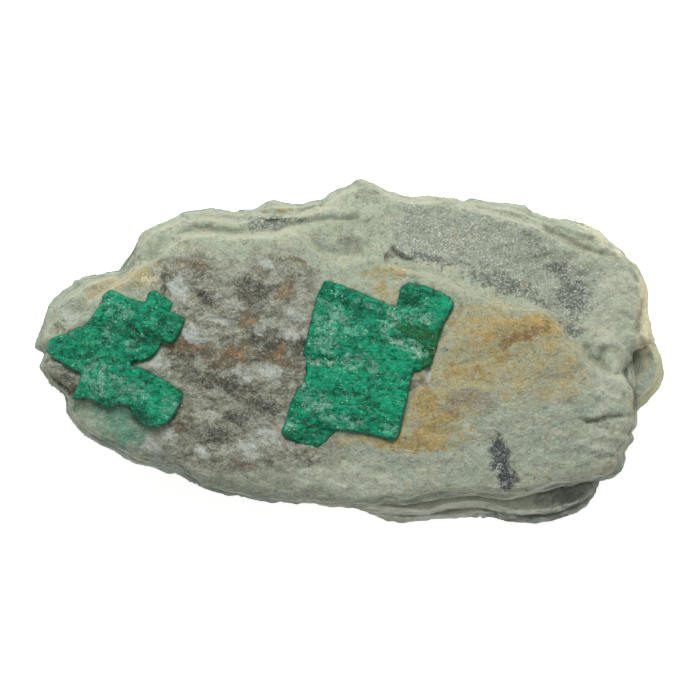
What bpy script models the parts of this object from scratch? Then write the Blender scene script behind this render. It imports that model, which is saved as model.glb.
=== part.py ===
"""Emerald crystals in a slab of foliated schist, lying on its flat underside.

Metres, +Z up. The origin is at the centre of the underside, on the resting plane. +X runs along
the slab and +Y across it. The photo looks straight down on the slab, so its outlines are traced
as pixel points and scaled to real size: one pixel is MM_PER_PIXEL.
"""
import math

import bmesh
import bpy
import numpy as np
from mathutils import Vector, noise

MM = 0.001
MM_PER_PIXEL = 0.125
PHOTO_CENTRE = (349.5, 352.25)

# Heights of the broken sheets' tops in millimetres, before the foot is trimmed flat.
LEDGE_LOW_TOP = 5.8
LEDGE_HIGH_TOP = 8.6
EAST_BLOCK_TOP = 15.0
EAST_STEP_TOP = 18.2
RIM_TOP = 19.2
EAST_SHOULDER_TOP = 21.8
WEST_RIM_TOP = 21.4
OUTER_STRIP_TOP = 21.6
STRIP_TOP = 22.4
HOLLOW_TOP = 23.0
PEAK_TOP = 23.8
FACE_TOP = 24.2
FOOT_TRIM = 0.7

# How the tops fall, in millimetres for each millimetre along +X and +Y.
EAST_BLOCK_FALL = (-0.03, 0.0)
HOLLOW_FALL = (-0.09, -0.02)
PEAK_FALL = (0.0, -0.09)

# Bottoms of the sheets, each inside the sheet under it, and how far their top edges draw in.
LEDGE_LOW_BOTTOM = 4.2
LEDGE_HIGH_BOTTOM = 5.4
EAST_BLOCK_BOTTOM = 12.2
EAST_STEP_BOTTOM = 14.0
RIM_BOTTOM = 16.6
UPPER_BOTTOM = 18.0
WEST_RIM_BOTTOM = 17.0
EDGE_BATTER = 0.7
SIDE_BATTER = 1.0

# Thinner sheets between them: bottom, top, how far each draws in toward the slab's long axis, and
# how unevenly.
FOOT_SHEETS = ((-0.4, 2.2, 7.0, 5.0), (1.4, 3.4, 4.4, 4.0), (2.8, 4.8, 2.2, 2.6))
MIDDLE_SHEETS = ((8.0, 10.4, 1.3, 2.2), (10.0, 12.6, 0.6, 1.6))
UPPER_SHEETS = ((14.4, 17.0, 0.5, 1.6),)

HALF_LENGTH = 39.4
HALF_WIDTH = 21.5
CROWN_ALONG = 3.8
CROWN_ACROSS = 2.6
CROWN_CENTRE = 1.0
FOLD_HEIGHT = 1.1
FOLD_LENGTH = 11.0
FOLD_SLANT = 17.0
FOLD_SHIFT = 0.6
SHOULDER_DROP = 1.8
SHOULDER_WIDTH = 1.6
WORN_POINTS = 18
SPINE_WEST = -24.0
SPINE_EAST = 22.0
SPINE_FALL = -0.05
SPINE_CLEAR = 5.0

# Relief over the sheets: the size of its lumps along each axis, and its height.
BROAD_SIZE = (9.0, 9.0, 4.0)
BROAD_RELIEF = 0.32
BROAD_ROUGHNESS = 0.9
BROAD_OCTAVES = 3
FINE_SIZE = (2.2, 2.2, 0.9)
FINE_RELIEF = 0.12
SHEET_SIZE = (7.0, 7.0, 1.3)
SHEET_RELIEF = 0.45
RIM_FADE = 4.0

# Smooth dents in the upper face: pixel, half length, half width and turn in degrees, and depth.
DENTS = [((560, 290), 9.0, 3.4, -35.0, 0.6), ((470, 262), 9.0, 2.6, -15.0, 0.7),
         ((273, 224), 3.4, 1.0, 5.0, 1.2), ((345, 245), 3.2, 1.3, 0.0, 0.5),
         ((640, 385), 3.0, 5.0, 0.0, 1.2)]

VOXEL = 0.62
ROCK_TRIANGLES = 7400
CHAMFER = 0.3
BLOCK_DRAFT = 0.25
GAP = 0.3
CUTTER_REACH = 6.0
GROUND_CUTTER = (120.0, 80.0, 10.0)

# Outline of the slab seen from above, clockwise from its left tip.
WEST_TIP = [(34, 347), (38, 336), (44, 318), (48, 305), (57, 296), (66, 288), (74, 284), (72, 282),
            (82, 276), (95, 274), (110, 270), (119, 269)]
NORTH_WEST = [(121, 266), (130, 252), (138, 234), (146, 228), (155, 227), (170, 219), (187, 211.5),
              (210, 208), (222, 209.5), (230, 212), (250, 210), (258, 209), (270, 202), (285, 202),
              (295, 203.5), (314, 202), (328, 196), (342, 189), (352, 184), (360, 179.5)]
NORTH_EAST = [(368, 180.5), (378, 184.5), (387, 191.5), (400, 195.5), (413, 198), (426, 197),
              (448, 201), (463, 202.5), (471, 199), (492, 202), (510, 202.5), (525, 206),
              (533, 211.5), (548, 216), (571, 220), (588, 225.5), (601, 230), (611, 240),
              (624, 250), (630, 259), (641, 270), (648, 284), (650, 292), (650, 310), (652, 328),
              (657, 344)]
EAST_BLOCK = [(663, 357), (665, 377), (661, 388), (650, 399), (637, 412)]
SOUTH_EAST = [(637, 418), (636.5, 425), (631, 433), (633.5, 437), (633, 441), (625, 453),
              (626, 458), (623, 470), (612, 478), (601, 481)]
LOW_LEDGE = [(600, 487), (598, 495), (590, 507), (578, 516), (560, 521), (535, 525), (508, 521.5),
             (480, 518), (462, 520), (430, 522.5), (400, 524), (382, 520.5), (364, 514), (352, 507)]
SOUTH_WEST = [(345, 506.5), (325, 506), (315, 503.5), (298, 504.5), (280, 502), (252, 500),
              (238, 494.5), (228, 494), (203, 487), (190, 480.5), (174, 471), (168, 472),
              (158, 467.5), (138, 463.5), (124, 456), (107, 446), (87, 435), (74, 425), (65, 411),
              (66, 402), (63, 393), (50, 383), (39.5, 368), (39.5, 365), (44, 357), (44, 352)]

# Edges of the broken foliation sheets inside that outline.
FACE_OVER_LEDGE = [(600, 480.5), (588, 482.5), (562, 486), (545, 491), (525, 496), (512, 499),
                   (500, 498), (480, 495), (465, 496), (445, 497.5), (426, 501), (408, 505),
                   (398, 504.5), (385, 501.5), (372, 505), (352, 507)]
LEDGE_STEP = [(600, 488), (585, 504), (560, 513), (545, 516), (525, 517), (510, 516.5),
              (492, 511.5), (475, 508), (460, 509.5), (448, 511), (428, 516), (400, 516),
              (385, 514), (365, 511), (355, 508)]
FACE_OVER_EAST_BLOCK = [(632, 352), (633, 360), (626, 370), (625.5, 375), (634, 390),
                        (633.5, 396), (636.5, 411)]
FACE_OVER_WEST_RIM = [(45, 352), (50, 337), (62, 328), (78, 311), (85, 299), (98, 290), (108, 283),
                      (122, 275), (135, 262), (152, 256), (161, 249), (165, 243), (169, 239)]
FACE_OVER_NORTH_STRIP = [(180, 232), (193, 229), (208, 229), (230, 231), (247, 231.5), (262, 230),
                         (275, 229.5), (287, 224.5), (300, 222.5)]
FACE_OVER_SCOOP = [(306, 232), (313, 240), (320, 247), (332, 253), (345, 257), (355, 255),
                   (365, 253), (375, 250), (382, 247), (386, 243), (390, 241), (390, 250),
                   (392, 260)]
FACE_OVER_HOLLOW = [(400, 262), (420, 267), (435, 271), (450, 275), (465, 282), (480, 289),
                    (495, 296), (515, 301), (540, 304), (550, 308), (558, 316), (567, 326),
                    (573, 338), (586, 347), (591, 358), (603, 367), (608, 370)]
NORTH_STRIP = [(183, 216), (190, 218), (205, 214.5), (225, 216.5), (240, 218), (255, 213),
               (270, 212), (300, 211), (310, 208), (322, 204)]
HOLLOW_OVER_RIM = [(455, 201), (466, 204), (478, 207), (500, 211), (520, 217), (532, 220),
                   (545, 226), (557, 234), (575, 244), (595, 250), (616, 255.5), (630, 266),
                   (638, 279), (643, 295), (642, 310), (639, 322), (643, 342), (634, 350)]

# Outlines of the smaller sheets. Where another sheet covers an edge, it runs on under that sheet.
EAST_STEP = [(632, 352), (633, 360), (634, 366), (637, 382), (636, 396), (637, 411), (600, 411),
             (600, 352)]
EAST_SHOULDER = [(556, 312), (572, 312), (592, 318), (616, 330), (632, 346), (632, 360), (625, 372),
                 (625, 380), (580, 380), (556, 350)]
HOLLOW_WEST = [(340, 190), (352, 184), (360, 179.5)]
HOLLOW_UNDER_FACE = [(500, 420), (330, 300)]
STRIP_WEST = [(130, 262), (138, 240), (150, 229), (172, 221)]
STRIP_UNDER_FACE = [(345, 200), (345, 300), (150, 300)]
OUTER_STRIP = [(172, 222), (186, 212.5), (210, 208), (230, 212), (258, 209), (270, 202),
               (295, 203.5), (322, 200), (330, 240), (180, 240)]
PEAK = [(300, 222.5), (300, 213), (322, 203), (328, 196), (352, 184), (360, 180.5), (368, 181),
        (378, 185), (387, 192), (396, 196), (399, 225), (396, 245), (394, 262), (300, 262)]
WEST_RIM = [(44, 352), (38, 340), (46, 318), (50, 306), (59, 298), (68, 290), (76, 285), (84, 279),
            (96, 276), (112, 272), (122, 270), (160, 250), (160, 340)]
FACE_SOUTH_EAST = [(626, 374), (634, 390), (636.5, 411)]

# Crystal blocks: the outline of each as seen from above.
LEFT_END_BLOCK = [(46, 352), (48, 345), (50, 339), (60, 334.5), (73, 331), (77, 326.5), (86, 327),
                  (94, 335), (98, 352), (90, 366), (81, 373), (70, 369), (61, 362.5), (52, 358)]
LEFT_MAIN_BLOCK = [(97, 309), (103, 302), (102.5, 296), (110, 289.5), (121, 293.5), (132, 299),
                   (146, 303), (166, 310), (178, 314), (186, 319.5), (183, 328), (178, 338),
                   (171, 344), (163, 342), (130, 331), (91, 320), (93, 315)]
LEFT_SMALL_BLOCK = [(147, 298), (149, 292), (155, 290), (167, 298), (174, 303), (171, 309),
                    (160, 318), (144, 308)]
LEFT_FRONT_BLOCK = [(84, 326), (92, 317), (128, 327), (163, 341), (158, 351), (151, 359),
                    (142, 361.5), (133, 362), (118, 363.5), (106, 366), (95, 368), (84, 368),
                    (78, 345)]
LEFT_PRISM = [(84, 362), (94, 352), (108, 352), (120, 356), (130, 362), (132, 365), (140, 368),
              (152, 373.5), (160, 377), (172, 384), (184, 393), (181, 402), (176, 413), (168, 424),
              (157, 428.5), (148, 427), (139, 421), (132, 414), (130, 407.5), (118, 404.5),
              (110, 408.5), (98, 403), (86, 398.5), (71, 400), (76, 389), (80, 380)]
RIGHT_UPPER_BLOCK = [(324, 281), (329, 280.5), (346, 287), (369, 296), (390, 305.5), (386, 312),
                     (380, 321), (379, 328), (385, 333), (388, 341), (388, 348), (383, 358), (368, 361),
                     (352, 359), (335, 358), (318, 357), (309, 357.5), (303, 353.5), (307, 338),
                     (311.5, 318), (315.5, 300)]
RIGHT_LOWER_BLOCK = [(309.5, 369), (313, 367), (330, 366.5), (346, 367), (356, 364), (363, 352),
                     (368, 345.5), (384, 343), (399, 346), (413, 350), (419.5, 354), (417, 364),
                     (412.5, 374), (410, 384), (408, 398), (404, 412), (401.5, 424), (399.5, 434),
                     (396, 439), (391, 440.5), (383, 437.5), (366, 434), (345, 430.5), (322, 429),
                     (300, 389), (304, 379)]
RIGHT_VEIN_BLOCK = [(304.5, 352), (346, 352), (366, 350), (372, 374), (346, 375), (306, 374)]
RIGHT_LOW_CORNER_BLOCK = [(299, 387), (291, 402), (286.5, 417), (281.5, 432.5), (287, 438.5),
                          (300, 443.5), (309, 446), (319, 447), (326, 441.5), (331, 435),
                          (338, 430.5), (334, 405), (310, 384)]
RIGHT_CORNER_BLOCK = [(400, 290), (403, 285), (410, 282.5), (424, 285), (438, 291), (450, 297),
                      (454, 302), (453, 307.5), (449, 314.5), (444.5, 322), (442, 331),
                      (438, 339.5), (436, 350), (433, 358), (430, 366.5), (425, 368.5), (419, 364),
                      (418, 352), (408, 344), (396, 338), (392, 330), (392, 320), (395, 310),
                      (398, 300)]
RIGHT_MILKY_BLOCK = [(374, 324), (382, 312), (389, 305.5), (404, 306), (412, 330), (430, 345),
                     (427, 366), (420, 371.5), (412, 372), (400, 356), (382, 350)]

# Each block: its outline, how far it stands above the rock, how its top leans from the rock's face,
# and how deep it reaches below its top.
CRYSTALS = {
    "emerald_left_group": (
        (LEFT_MAIN_BLOCK, 0.85, (0.02, 0.01), 3.8), (LEFT_FRONT_BLOCK, 0.7, (0.0, 0.02), 3.4),
        (LEFT_END_BLOCK, 0.6, (0.01, 0.0), 2.2), (LEFT_SMALL_BLOCK, 0.7, (0.01, -0.02), 3.0),
        (LEFT_PRISM, 0.7, (0.01, 0.02), 3.0)),
    "emerald_right_group": (
        (RIGHT_UPPER_BLOCK, 0.8, (0.0, 0.01), 3.8), (RIGHT_LOWER_BLOCK, 0.85, (0.01, 0.0), 4.0),
        (RIGHT_VEIN_BLOCK, 0.6, (0.0, 0.0), 3.4), (RIGHT_LOW_CORNER_BLOCK, 0.6, (0.0, 0.01), 3.2),
        (RIGHT_CORNER_BLOCK, 0.7, (-0.02, -0.01), 3.4), (RIGHT_MILKY_BLOCK, 0.5, (0.0, 0.0), 3.0)),
}


def to_mm(point):
    """A pixel of the photo as real millimetres from the slab's centre."""
    return ((point[0] - PHOTO_CENTRE[0]) * MM_PER_PIXEL, (PHOTO_CENTRE[1] - point[1]) * MM_PER_PIXEL)


def outline_mm(*stretches):
    """One closed outline in millimetres, from stretches of pixel points laid end to end."""
    return [to_mm(point) for stretch in stretches for point in stretch]


def offset_outline(outline, distance):
    """The outline moved outward by distance, with mitred corners (a negative one moves it inward)."""
    count = len(outline)
    area = sum(outline[i - 1][0] * outline[i][1] - outline[i][0] * outline[i - 1][1]
               for i in range(count))
    sign = 1.0 if area > 0 else -1.0
    moved = []
    for i in range(count):
        here = Vector(outline[i])
        before = (here - Vector(outline[i - 1])).normalized()
        after = (Vector(outline[(i + 1) % count]) - here).normalized()
        tangent = (before + after).normalized()
        mitre = max(0.6, tangent.dot(after))
        outward = Vector((tangent.y, -tangent.x)) * sign
        moved.append(tuple(here + outward * (distance / mitre)))
    return moved


def close_rings(mesh, rings):
    """Joins rings of corners, lowest first, into one closed solid."""
    count = len(rings[0])
    for low, high in zip(rings, rings[1:]):
        for i in range(count):
            j = (i + 1) % count
            mesh.faces.new((low[i], low[j], high[j], high[i]))
    mesh.faces.new(rings[-1])
    mesh.faces.new(list(reversed(rings[0])))


def add_slab(mesh, outline, bottom, top, batter=EDGE_BATTER, fall=(0.0, 0.0)):
    """One foliation sheet: the outline from bottom to top, its top edge drawn in by batter."""
    rings = []
    for ring_outline, height in ((outline, bottom), (offset_outline(outline, -batter), top)):
        tilt = fall if height == top else (0.0, 0.0)
        rings.append([mesh.verts.new((x, y, height + tilt[0] * x + tilt[1] * y))
                      for x, y in ring_outline])
    close_rings(mesh, rings)


def from_spine(x, y):
    """The nearest point of the slab's long axis and the way out from it to a place in plan."""
    spine = Vector((min(max(x, SPINE_WEST), SPINE_EAST), SPINE_FALL * x))
    return spine, Vector((x, y)) - spine


def toward_spine(outline, inset, roughness, layer):
    """The outline drawn in toward the slab's long axis, unevenly, and twice as far at its ends."""
    moved = []
    for x, y in outline:
        spine, out = from_spine(x, y)
        wander = noise.noise(Vector((x * 0.11, y * 0.11, layer * 3.7)))
        pull = max(0.0, inset * (1.0 + (x / HALF_LENGTH) ** 4) + roughness * wander)
        moved.append(tuple(spine + out * (1.0 - pull / max(out.length, SPINE_CLEAR))))
    return moved


def build_slabs():
    """All the foliation sheets of the rock as overlapping closed solids in one mesh."""
    whole = outline_mm(WEST_TIP, NORTH_WEST, NORTH_EAST, EAST_BLOCK, SOUTH_EAST, LOW_LEDGE, SOUTH_WEST)
    high_ledge = outline_mm(WEST_TIP, NORTH_WEST, NORTH_EAST, EAST_BLOCK, SOUTH_EAST, LEDGE_STEP,
                            SOUTH_WEST)
    no_ledge = outline_mm(WEST_TIP, NORTH_WEST, NORTH_EAST, EAST_BLOCK, SOUTH_EAST, FACE_OVER_LEDGE,
                          SOUTH_WEST)
    no_block = outline_mm(WEST_TIP, NORTH_WEST, NORTH_EAST, FACE_OVER_EAST_BLOCK, SOUTH_EAST,
                          FACE_OVER_LEDGE, SOUTH_WEST)
    mesh = bmesh.new()
    layer = 0
    for sheets, outline in ((FOOT_SHEETS, whole), (MIDDLE_SHEETS, no_ledge), (UPPER_SHEETS, no_block)):
        for bottom, top, inset, roughness in sheets:
            add_slab(mesh, toward_spine(outline, inset, roughness, layer), bottom, top)
            layer += 1
    add_slab(mesh, whole, LEDGE_LOW_BOTTOM, LEDGE_LOW_TOP)
    add_slab(mesh, high_ledge, LEDGE_HIGH_BOTTOM, LEDGE_HIGH_TOP)
    add_slab(mesh, no_ledge, EAST_BLOCK_BOTTOM, EAST_BLOCK_TOP, SIDE_BATTER, EAST_BLOCK_FALL)
    add_slab(mesh, no_block, RIM_BOTTOM, RIM_TOP, SIDE_BATTER)
    add_slab(mesh, outline_mm(EAST_STEP), EAST_STEP_BOTTOM, EAST_STEP_TOP)
    hollow = outline_mm(HOLLOW_WEST, NORTH_EAST[:6], HOLLOW_OVER_RIM, FACE_OVER_EAST_BLOCK[1:],
                        HOLLOW_UNDER_FACE)
    add_slab(mesh, hollow, UPPER_BOTTOM, HOLLOW_TOP, EDGE_BATTER, HOLLOW_FALL)
    add_slab(mesh, outline_mm(EAST_SHOULDER), UPPER_BOTTOM, EAST_SHOULDER_TOP, SIDE_BATTER)
    strip = outline_mm(STRIP_WEST, NORTH_STRIP, STRIP_UNDER_FACE)
    add_slab(mesh, strip, UPPER_BOTTOM, STRIP_TOP)
    add_slab(mesh, outline_mm(OUTER_STRIP), UPPER_BOTTOM, OUTER_STRIP_TOP)
    add_slab(mesh, outline_mm(PEAK), UPPER_BOTTOM, PEAK_TOP, EDGE_BATTER, PEAK_FALL)
    add_slab(mesh, outline_mm(WEST_RIM), WEST_RIM_BOTTOM, WEST_RIM_TOP, SIDE_BATTER)
    face = outline_mm(FACE_OVER_WEST_RIM, FACE_OVER_NORTH_STRIP, FACE_OVER_SCOOP, FACE_OVER_HOLLOW,
                      FACE_SOUTH_EAST, SOUTH_EAST, FACE_OVER_LEDGE, SOUTH_WEST)
    add_slab(mesh, face, UPPER_BOTTOM, FACE_TOP, SIDE_BATTER)
    return mesh


def crown(x, y):
    """How far the main face falls below its highest stretch, as it curves down to its edges."""
    along = ((x - CROWN_CENTRE) / HALF_LENGTH) ** 2
    across = ((y - CROWN_CENTRE) / HALF_WIDTH) ** 2
    return CROWN_ALONG * along + CROWN_ACROSS * across


def distance_to(x, y, line):
    """Distance in millimetres from each place to the nearest stretch of a line of pixel points."""
    nearest = np.full(len(x), np.inf)
    points = [to_mm(point) for point in line]
    for (ax, ay), (bx, by) in zip(points, points[1:]):
        dx, dy = bx - ax, by - ay
        along = np.clip(((x - ax) * dx + (y - ay) * dy) / (dx * dx + dy * dy), 0.0, 1.0)
        nearest = np.minimum(nearest, np.hypot(x - ax - along * dx, y - ay - along * dy))
    return nearest


def dent(x, y, pixel, length, width, angle, depth):
    """A smooth elliptic hollow of the given depth around a pixel, its long axis turned by angle."""
    cx, cy = to_mm(pixel)
    turn = math.radians(angle)
    along = (x - cx) * math.cos(turn) + (y - cy) * math.sin(turn)
    across = -(x - cx) * math.sin(turn) + (y - cy) * math.cos(turn)
    return depth * np.exp(-(along / length) ** 2 - (across / width) ** 2)


def scaled_place(x, y, z, size):
    """A place in the noise whose lumps have the given size along each axis, in millimetres."""
    return Vector((x / size[0], y / size[1], z / size[2]))


def shape_relief(points):
    """Bends the flat sheets into the slab's gentle curves, then roughens them along the foliation."""
    x, y, z = points[:, 0].copy(), points[:, 1].copy(), points[:, 2].copy()
    high = np.clip(z / FACE_TOP, 0.0, 1.2) ** 2
    drop = crown(x, y)
    for line in (SOUTH_WEST[:WORN_POINTS], SOUTH_EAST, NORTH_WEST):
        drop += SHOULDER_DROP * np.exp(-distance_to(x, y, line) / SHOULDER_WIDTH)
    for pixel, length, width, angle, depth in DENTS:
        drop += dent(x, y, pixel, length, width, angle, depth)
    z -= drop * high
    fold = np.sin(x / FOLD_LENGTH - y / FOLD_SLANT + FOLD_SHIFT)
    z += FOLD_HEIGHT * fold * np.sin(np.pi * np.clip(z / FACE_TOP, 0, 1))
    for i, (px, py, pz) in enumerate(zip(x.copy(), y.copy(), z.copy())):
        place = scaled_place(px, py, pz, BROAD_SIZE)
        broad = noise.fractal(place, BROAD_ROUGHNESS, 2.0, BROAD_OCTAVES)
        fine = noise.noise(scaled_place(px, py, pz, FINE_SIZE))
        side = noise.noise(scaled_place(px, py, pz, SHEET_SIZE))
        z[i] += BROAD_RELIEF * broad + FINE_RELIEF * fine
        out = from_spine(px, py)[1]
        in_side = min(max((RIM_TOP - pz) / RIM_FADE, 0.0), 1.0)
        push = SHEET_RELIEF * side * in_side / max(out.length, SPINE_CLEAR)
        x[i] += out.x * push
        y[i] += out.y * push
    return np.column_stack((x, y, z))


def material(name, colour, roughness, transmission=0.0):
    """A plain surface finish for one sub-part."""
    finish = bpy.data.materials.new(name)
    finish.use_nodes = True
    shader = finish.node_tree.nodes["Principled BSDF"]
    shader.inputs["Base Color"].default_value = (*colour, 1.0)
    shader.inputs["Roughness"].default_value = roughness
    shader.inputs["Metallic"].default_value = 0.0
    shader.inputs["IOR"].default_value = 1.58
    shader.inputs["Transmission Weight"].default_value = transmission
    return finish


def link_mesh(name, mesh, finish=None):
    """A new scene object from a bmesh, which is freed."""
    bmesh.ops.recalc_face_normals(mesh, faces=mesh.faces)
    data = bpy.data.meshes.new(name)
    mesh.to_mesh(data)
    mesh.free()
    thing = bpy.data.objects.new(name, data)
    bpy.context.collection.objects.link(thing)
    if finish:
        data.materials.append(finish)
    return thing


def bake_modifiers(thing):
    """Replaces the object's mesh by what its modifiers make of it."""
    depsgraph = bpy.context.evaluated_depsgraph_get()
    baked = bpy.data.meshes.new_from_object(thing.evaluated_get(depsgraph))
    thing.modifiers.clear()
    thing.data = baked


def as_cutter(thing):
    """Marks an object as a guide for a Boolean, not a piece of the model."""
    thing.hide_render = True
    thing.display_type = "WIRE"


def block_mesh(outline, stand, lean, depth, spread=0.0):
    """A crystal block with a flat bevelled upper face that stands above the rock around it.

    The upper face follows the main face's curve, leaning by lean from it. spread widens the
    outline and lowers the bottom, for the pocket that the block sits in.
    """
    mesh = bmesh.new()
    centre = (sum(p[0] for p in outline) / len(outline), sum(p[1] for p in outline) / len(outline))
    top = FACE_TOP - FOOT_TRIM - crown(*centre) + stand
    slope = (crown(centre[0] - 0.5, centre[1]) - crown(centre[0] + 0.5, centre[1]) + lean[0],
             crown(centre[0], centre[1] - 0.5) - crown(centre[0], centre[1] + 0.5) + lean[1])
    levels = [(spread - BLOCK_DRAFT, top - depth - spread), (spread, top - CHAMFER)]
    levels.append((spread, top + CUTTER_REACH) if spread else (-CHAMFER, top))
    rings = []
    for level, (offset, height) in enumerate(levels):
        tilt = slope if level else (0.0, 0.0)
        rings.append([mesh.verts.new((x, y, height + tilt[0] * (x - centre[0])
                                      + tilt[1] * (y - centre[1])))
                      for x, y in offset_outline(outline, offset)])
    close_rings(mesh, rings)
    bmesh.ops.scale(mesh, vec=(MM, MM, MM), verts=mesh.verts)
    return mesh


def build_crystal(name, blocks, finish):
    """One crystal piece, its blocks grown together into one solid, and the pockets it sits in."""
    pockets = []
    body = None
    for number, (outline, stand, lean, depth) in enumerate(blocks):
        points = outline_mm(outline)
        pocket = link_mesh(f"pocket_{name}_{number}", block_mesh(points, stand, lean, depth, GAP))
        as_cutter(pocket)
        pockets.append(pocket)
        block = link_mesh(name if body is None else f"{name}_block_{number}",
                          block_mesh(points, stand, lean, depth), finish)
        if body is None:
            body = block
            continue
        as_cutter(block)
        union = body.modifiers.new("grown_together", "BOOLEAN")
        union.operation = "UNION"
        union.object = block
    return pockets


def build_rock(pockets, finish):
    """The host rock: sheets fused into one solid, curved and roughened, with the crystal pockets."""
    rock = link_mesh("schist_matrix", build_slabs())
    fuse = rock.modifiers.new("fuse", "REMESH")
    fuse.mode = "VOXEL"
    fuse.voxel_size = VOXEL
    bake_modifiers(rock)
    count = len(rock.data.vertices)
    points = np.empty(count * 3)
    rock.data.vertices.foreach_get("co", points)
    shaped = shape_relief(points.reshape(count, 3))
    shaped[:, 2] -= FOOT_TRIM
    rock.data.vertices.foreach_set("co", (shaped * MM).ravel())
    rock.data.update()
    thin = rock.modifiers.new("thin_out", "DECIMATE")
    thin.ratio = ROCK_TRIANGLES / (2.0 * len(rock.data.polygons))
    bake_modifiers(rock)
    rock.data.materials.clear()
    rock.data.materials.append(finish)
    foot = bmesh.new()
    bmesh.ops.create_cube(foot, size=MM)
    bmesh.ops.scale(foot, vec=GROUND_CUTTER, verts=foot.verts)
    bmesh.ops.translate(foot, vec=(0.0, 0.0, -0.5 * GROUND_CUTTER[2] * MM), verts=foot.verts)
    ground = link_mesh("ground_cut", foot)
    as_cutter(ground)
    for cutter in [ground] + pockets:
        cut = rock.modifiers.new(cutter.name, "BOOLEAN")
        cut.operation = "DIFFERENCE"
        cut.object = cutter
    return rock


def main():
    for thing in list(bpy.data.objects):
        bpy.data.objects.remove(thing, do_unlink=True)
    schist = material("schist", (0.33, 0.37, 0.28), 0.82)
    emerald = material("emerald", (0.01, 0.21, 0.11), 0.28, 0.6)
    pockets = []
    for name, blocks in CRYSTALS.items():
        pockets += build_crystal(name, blocks, emerald)
    build_rock(pockets, schist)


main()
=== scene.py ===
import math

import bmesh
import bpy
import numpy as np
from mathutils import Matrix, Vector, noise


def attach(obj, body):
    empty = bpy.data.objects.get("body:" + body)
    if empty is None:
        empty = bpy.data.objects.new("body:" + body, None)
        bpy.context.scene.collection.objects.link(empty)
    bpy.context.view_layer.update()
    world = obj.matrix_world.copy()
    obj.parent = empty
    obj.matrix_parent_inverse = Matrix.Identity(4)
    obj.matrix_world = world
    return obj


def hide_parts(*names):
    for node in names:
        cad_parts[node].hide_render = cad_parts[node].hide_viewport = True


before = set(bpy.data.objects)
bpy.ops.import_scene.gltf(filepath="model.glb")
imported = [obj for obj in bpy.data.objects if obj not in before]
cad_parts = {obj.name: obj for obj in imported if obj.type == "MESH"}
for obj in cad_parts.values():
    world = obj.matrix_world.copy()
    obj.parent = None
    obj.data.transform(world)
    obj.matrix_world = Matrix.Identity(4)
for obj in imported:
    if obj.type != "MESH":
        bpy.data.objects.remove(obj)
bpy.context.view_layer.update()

# Real sizes in millimetres. The photo looks straight down on the slab, and its outlines are traced
# as pixel points, MM_PER_PIXEL to a pixel. The rock's sheets have the heights of the CAD solids.
MM = 0.001
MM_PER_PIXEL = 0.125
PHOTO_CENTRE = (349.5, 352.25)
PHOTO_MIDDLE = (350.0, 350.0)
PHOTO_WIDTH = 700

# Heights of the broken sheets' tops in millimetres, before the foot is trimmed flat.
LEDGE_LOW_TOP = 5.8
LEDGE_HIGH_TOP = 8.6
EAST_BLOCK_TOP = 15.0
EAST_STEP_TOP = 18.2
RIM_TOP = 19.2
EAST_SHOULDER_TOP = 21.8
WEST_RIM_TOP = 21.4
OUTER_STRIP_TOP = 21.6
STRIP_TOP = 22.4
HOLLOW_TOP = 23.0
PEAK_TOP = 23.8
FACE_TOP = 24.2
FOOT_TRIM = 0.7

# How the tops fall, in millimetres for each millimetre along +X and +Y.
EAST_BLOCK_FALL = (-0.03, 0.0)
HOLLOW_FALL = (-0.09, -0.02)
PEAK_FALL = (0.0, -0.09)

# Bottoms of the sheets, each inside the sheet under it, and how far their top edges draw in.
LEDGE_LOW_BOTTOM = 4.2
LEDGE_HIGH_BOTTOM = 5.4
EAST_BLOCK_BOTTOM = 12.2
EAST_STEP_BOTTOM = 14.0
RIM_BOTTOM = 16.6
UPPER_BOTTOM = 18.0
WEST_RIM_BOTTOM = 17.0
EDGE_BATTER = 0.7
SIDE_BATTER = 1.0

# Thinner sheets between them: bottom, top, how far each draws in toward the slab's long axis, and
# how unevenly.
FOOT_SHEETS = ((-0.4, 2.2, 7.0, 5.0), (1.4, 3.4, 4.4, 4.0), (2.8, 4.8, 2.2, 2.6))
MIDDLE_SHEETS = ((8.0, 10.4, 1.3, 2.2), (10.0, 12.6, 0.6, 1.6))
UPPER_SHEETS = ((14.4, 17.0, 0.5, 1.6),)

HALF_LENGTH = 39.4
HALF_WIDTH = 21.5
CROWN_ALONG = 3.8
CROWN_ACROSS = 2.6
CROWN_CENTRE = 1.0
FOLD_HEIGHT = 1.1
FOLD_LENGTH = 11.0
FOLD_SLANT = 17.0
FOLD_SHIFT = 0.6
SHOULDER_DROP = 1.8
SHOULDER_WIDTH = 1.6
WORN_POINTS = 18
SPINE_WEST = -24.0
SPINE_EAST = 22.0
SPINE_FALL = -0.05
SPINE_CLEAR = 5.0

# Smooth dents in the upper face: pixel, half length, half width and turn in degrees, and depth.
DENTS = [((560, 290), 9.0, 3.4, -35.0, 0.6), ((470, 262), 9.0, 2.6, -15.0, 0.7),
         ((273, 224), 3.4, 1.0, 5.0, 1.2), ((345, 245), 3.2, 1.3, 0.0, 0.5),
         ((640, 385), 3.0, 5.0, 0.0, 1.2)]

CHAMFER = 0.3
BLOCK_DRAFT = 0.25
ROCK_VOXEL = 0.28
ROCK_TRIANGLES = 196000
CRYSTAL_VOXEL = 0.17
BED_INSET = 0.25
BED_DEPTH = 1.6
RIM_REACH = 3.5

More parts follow.
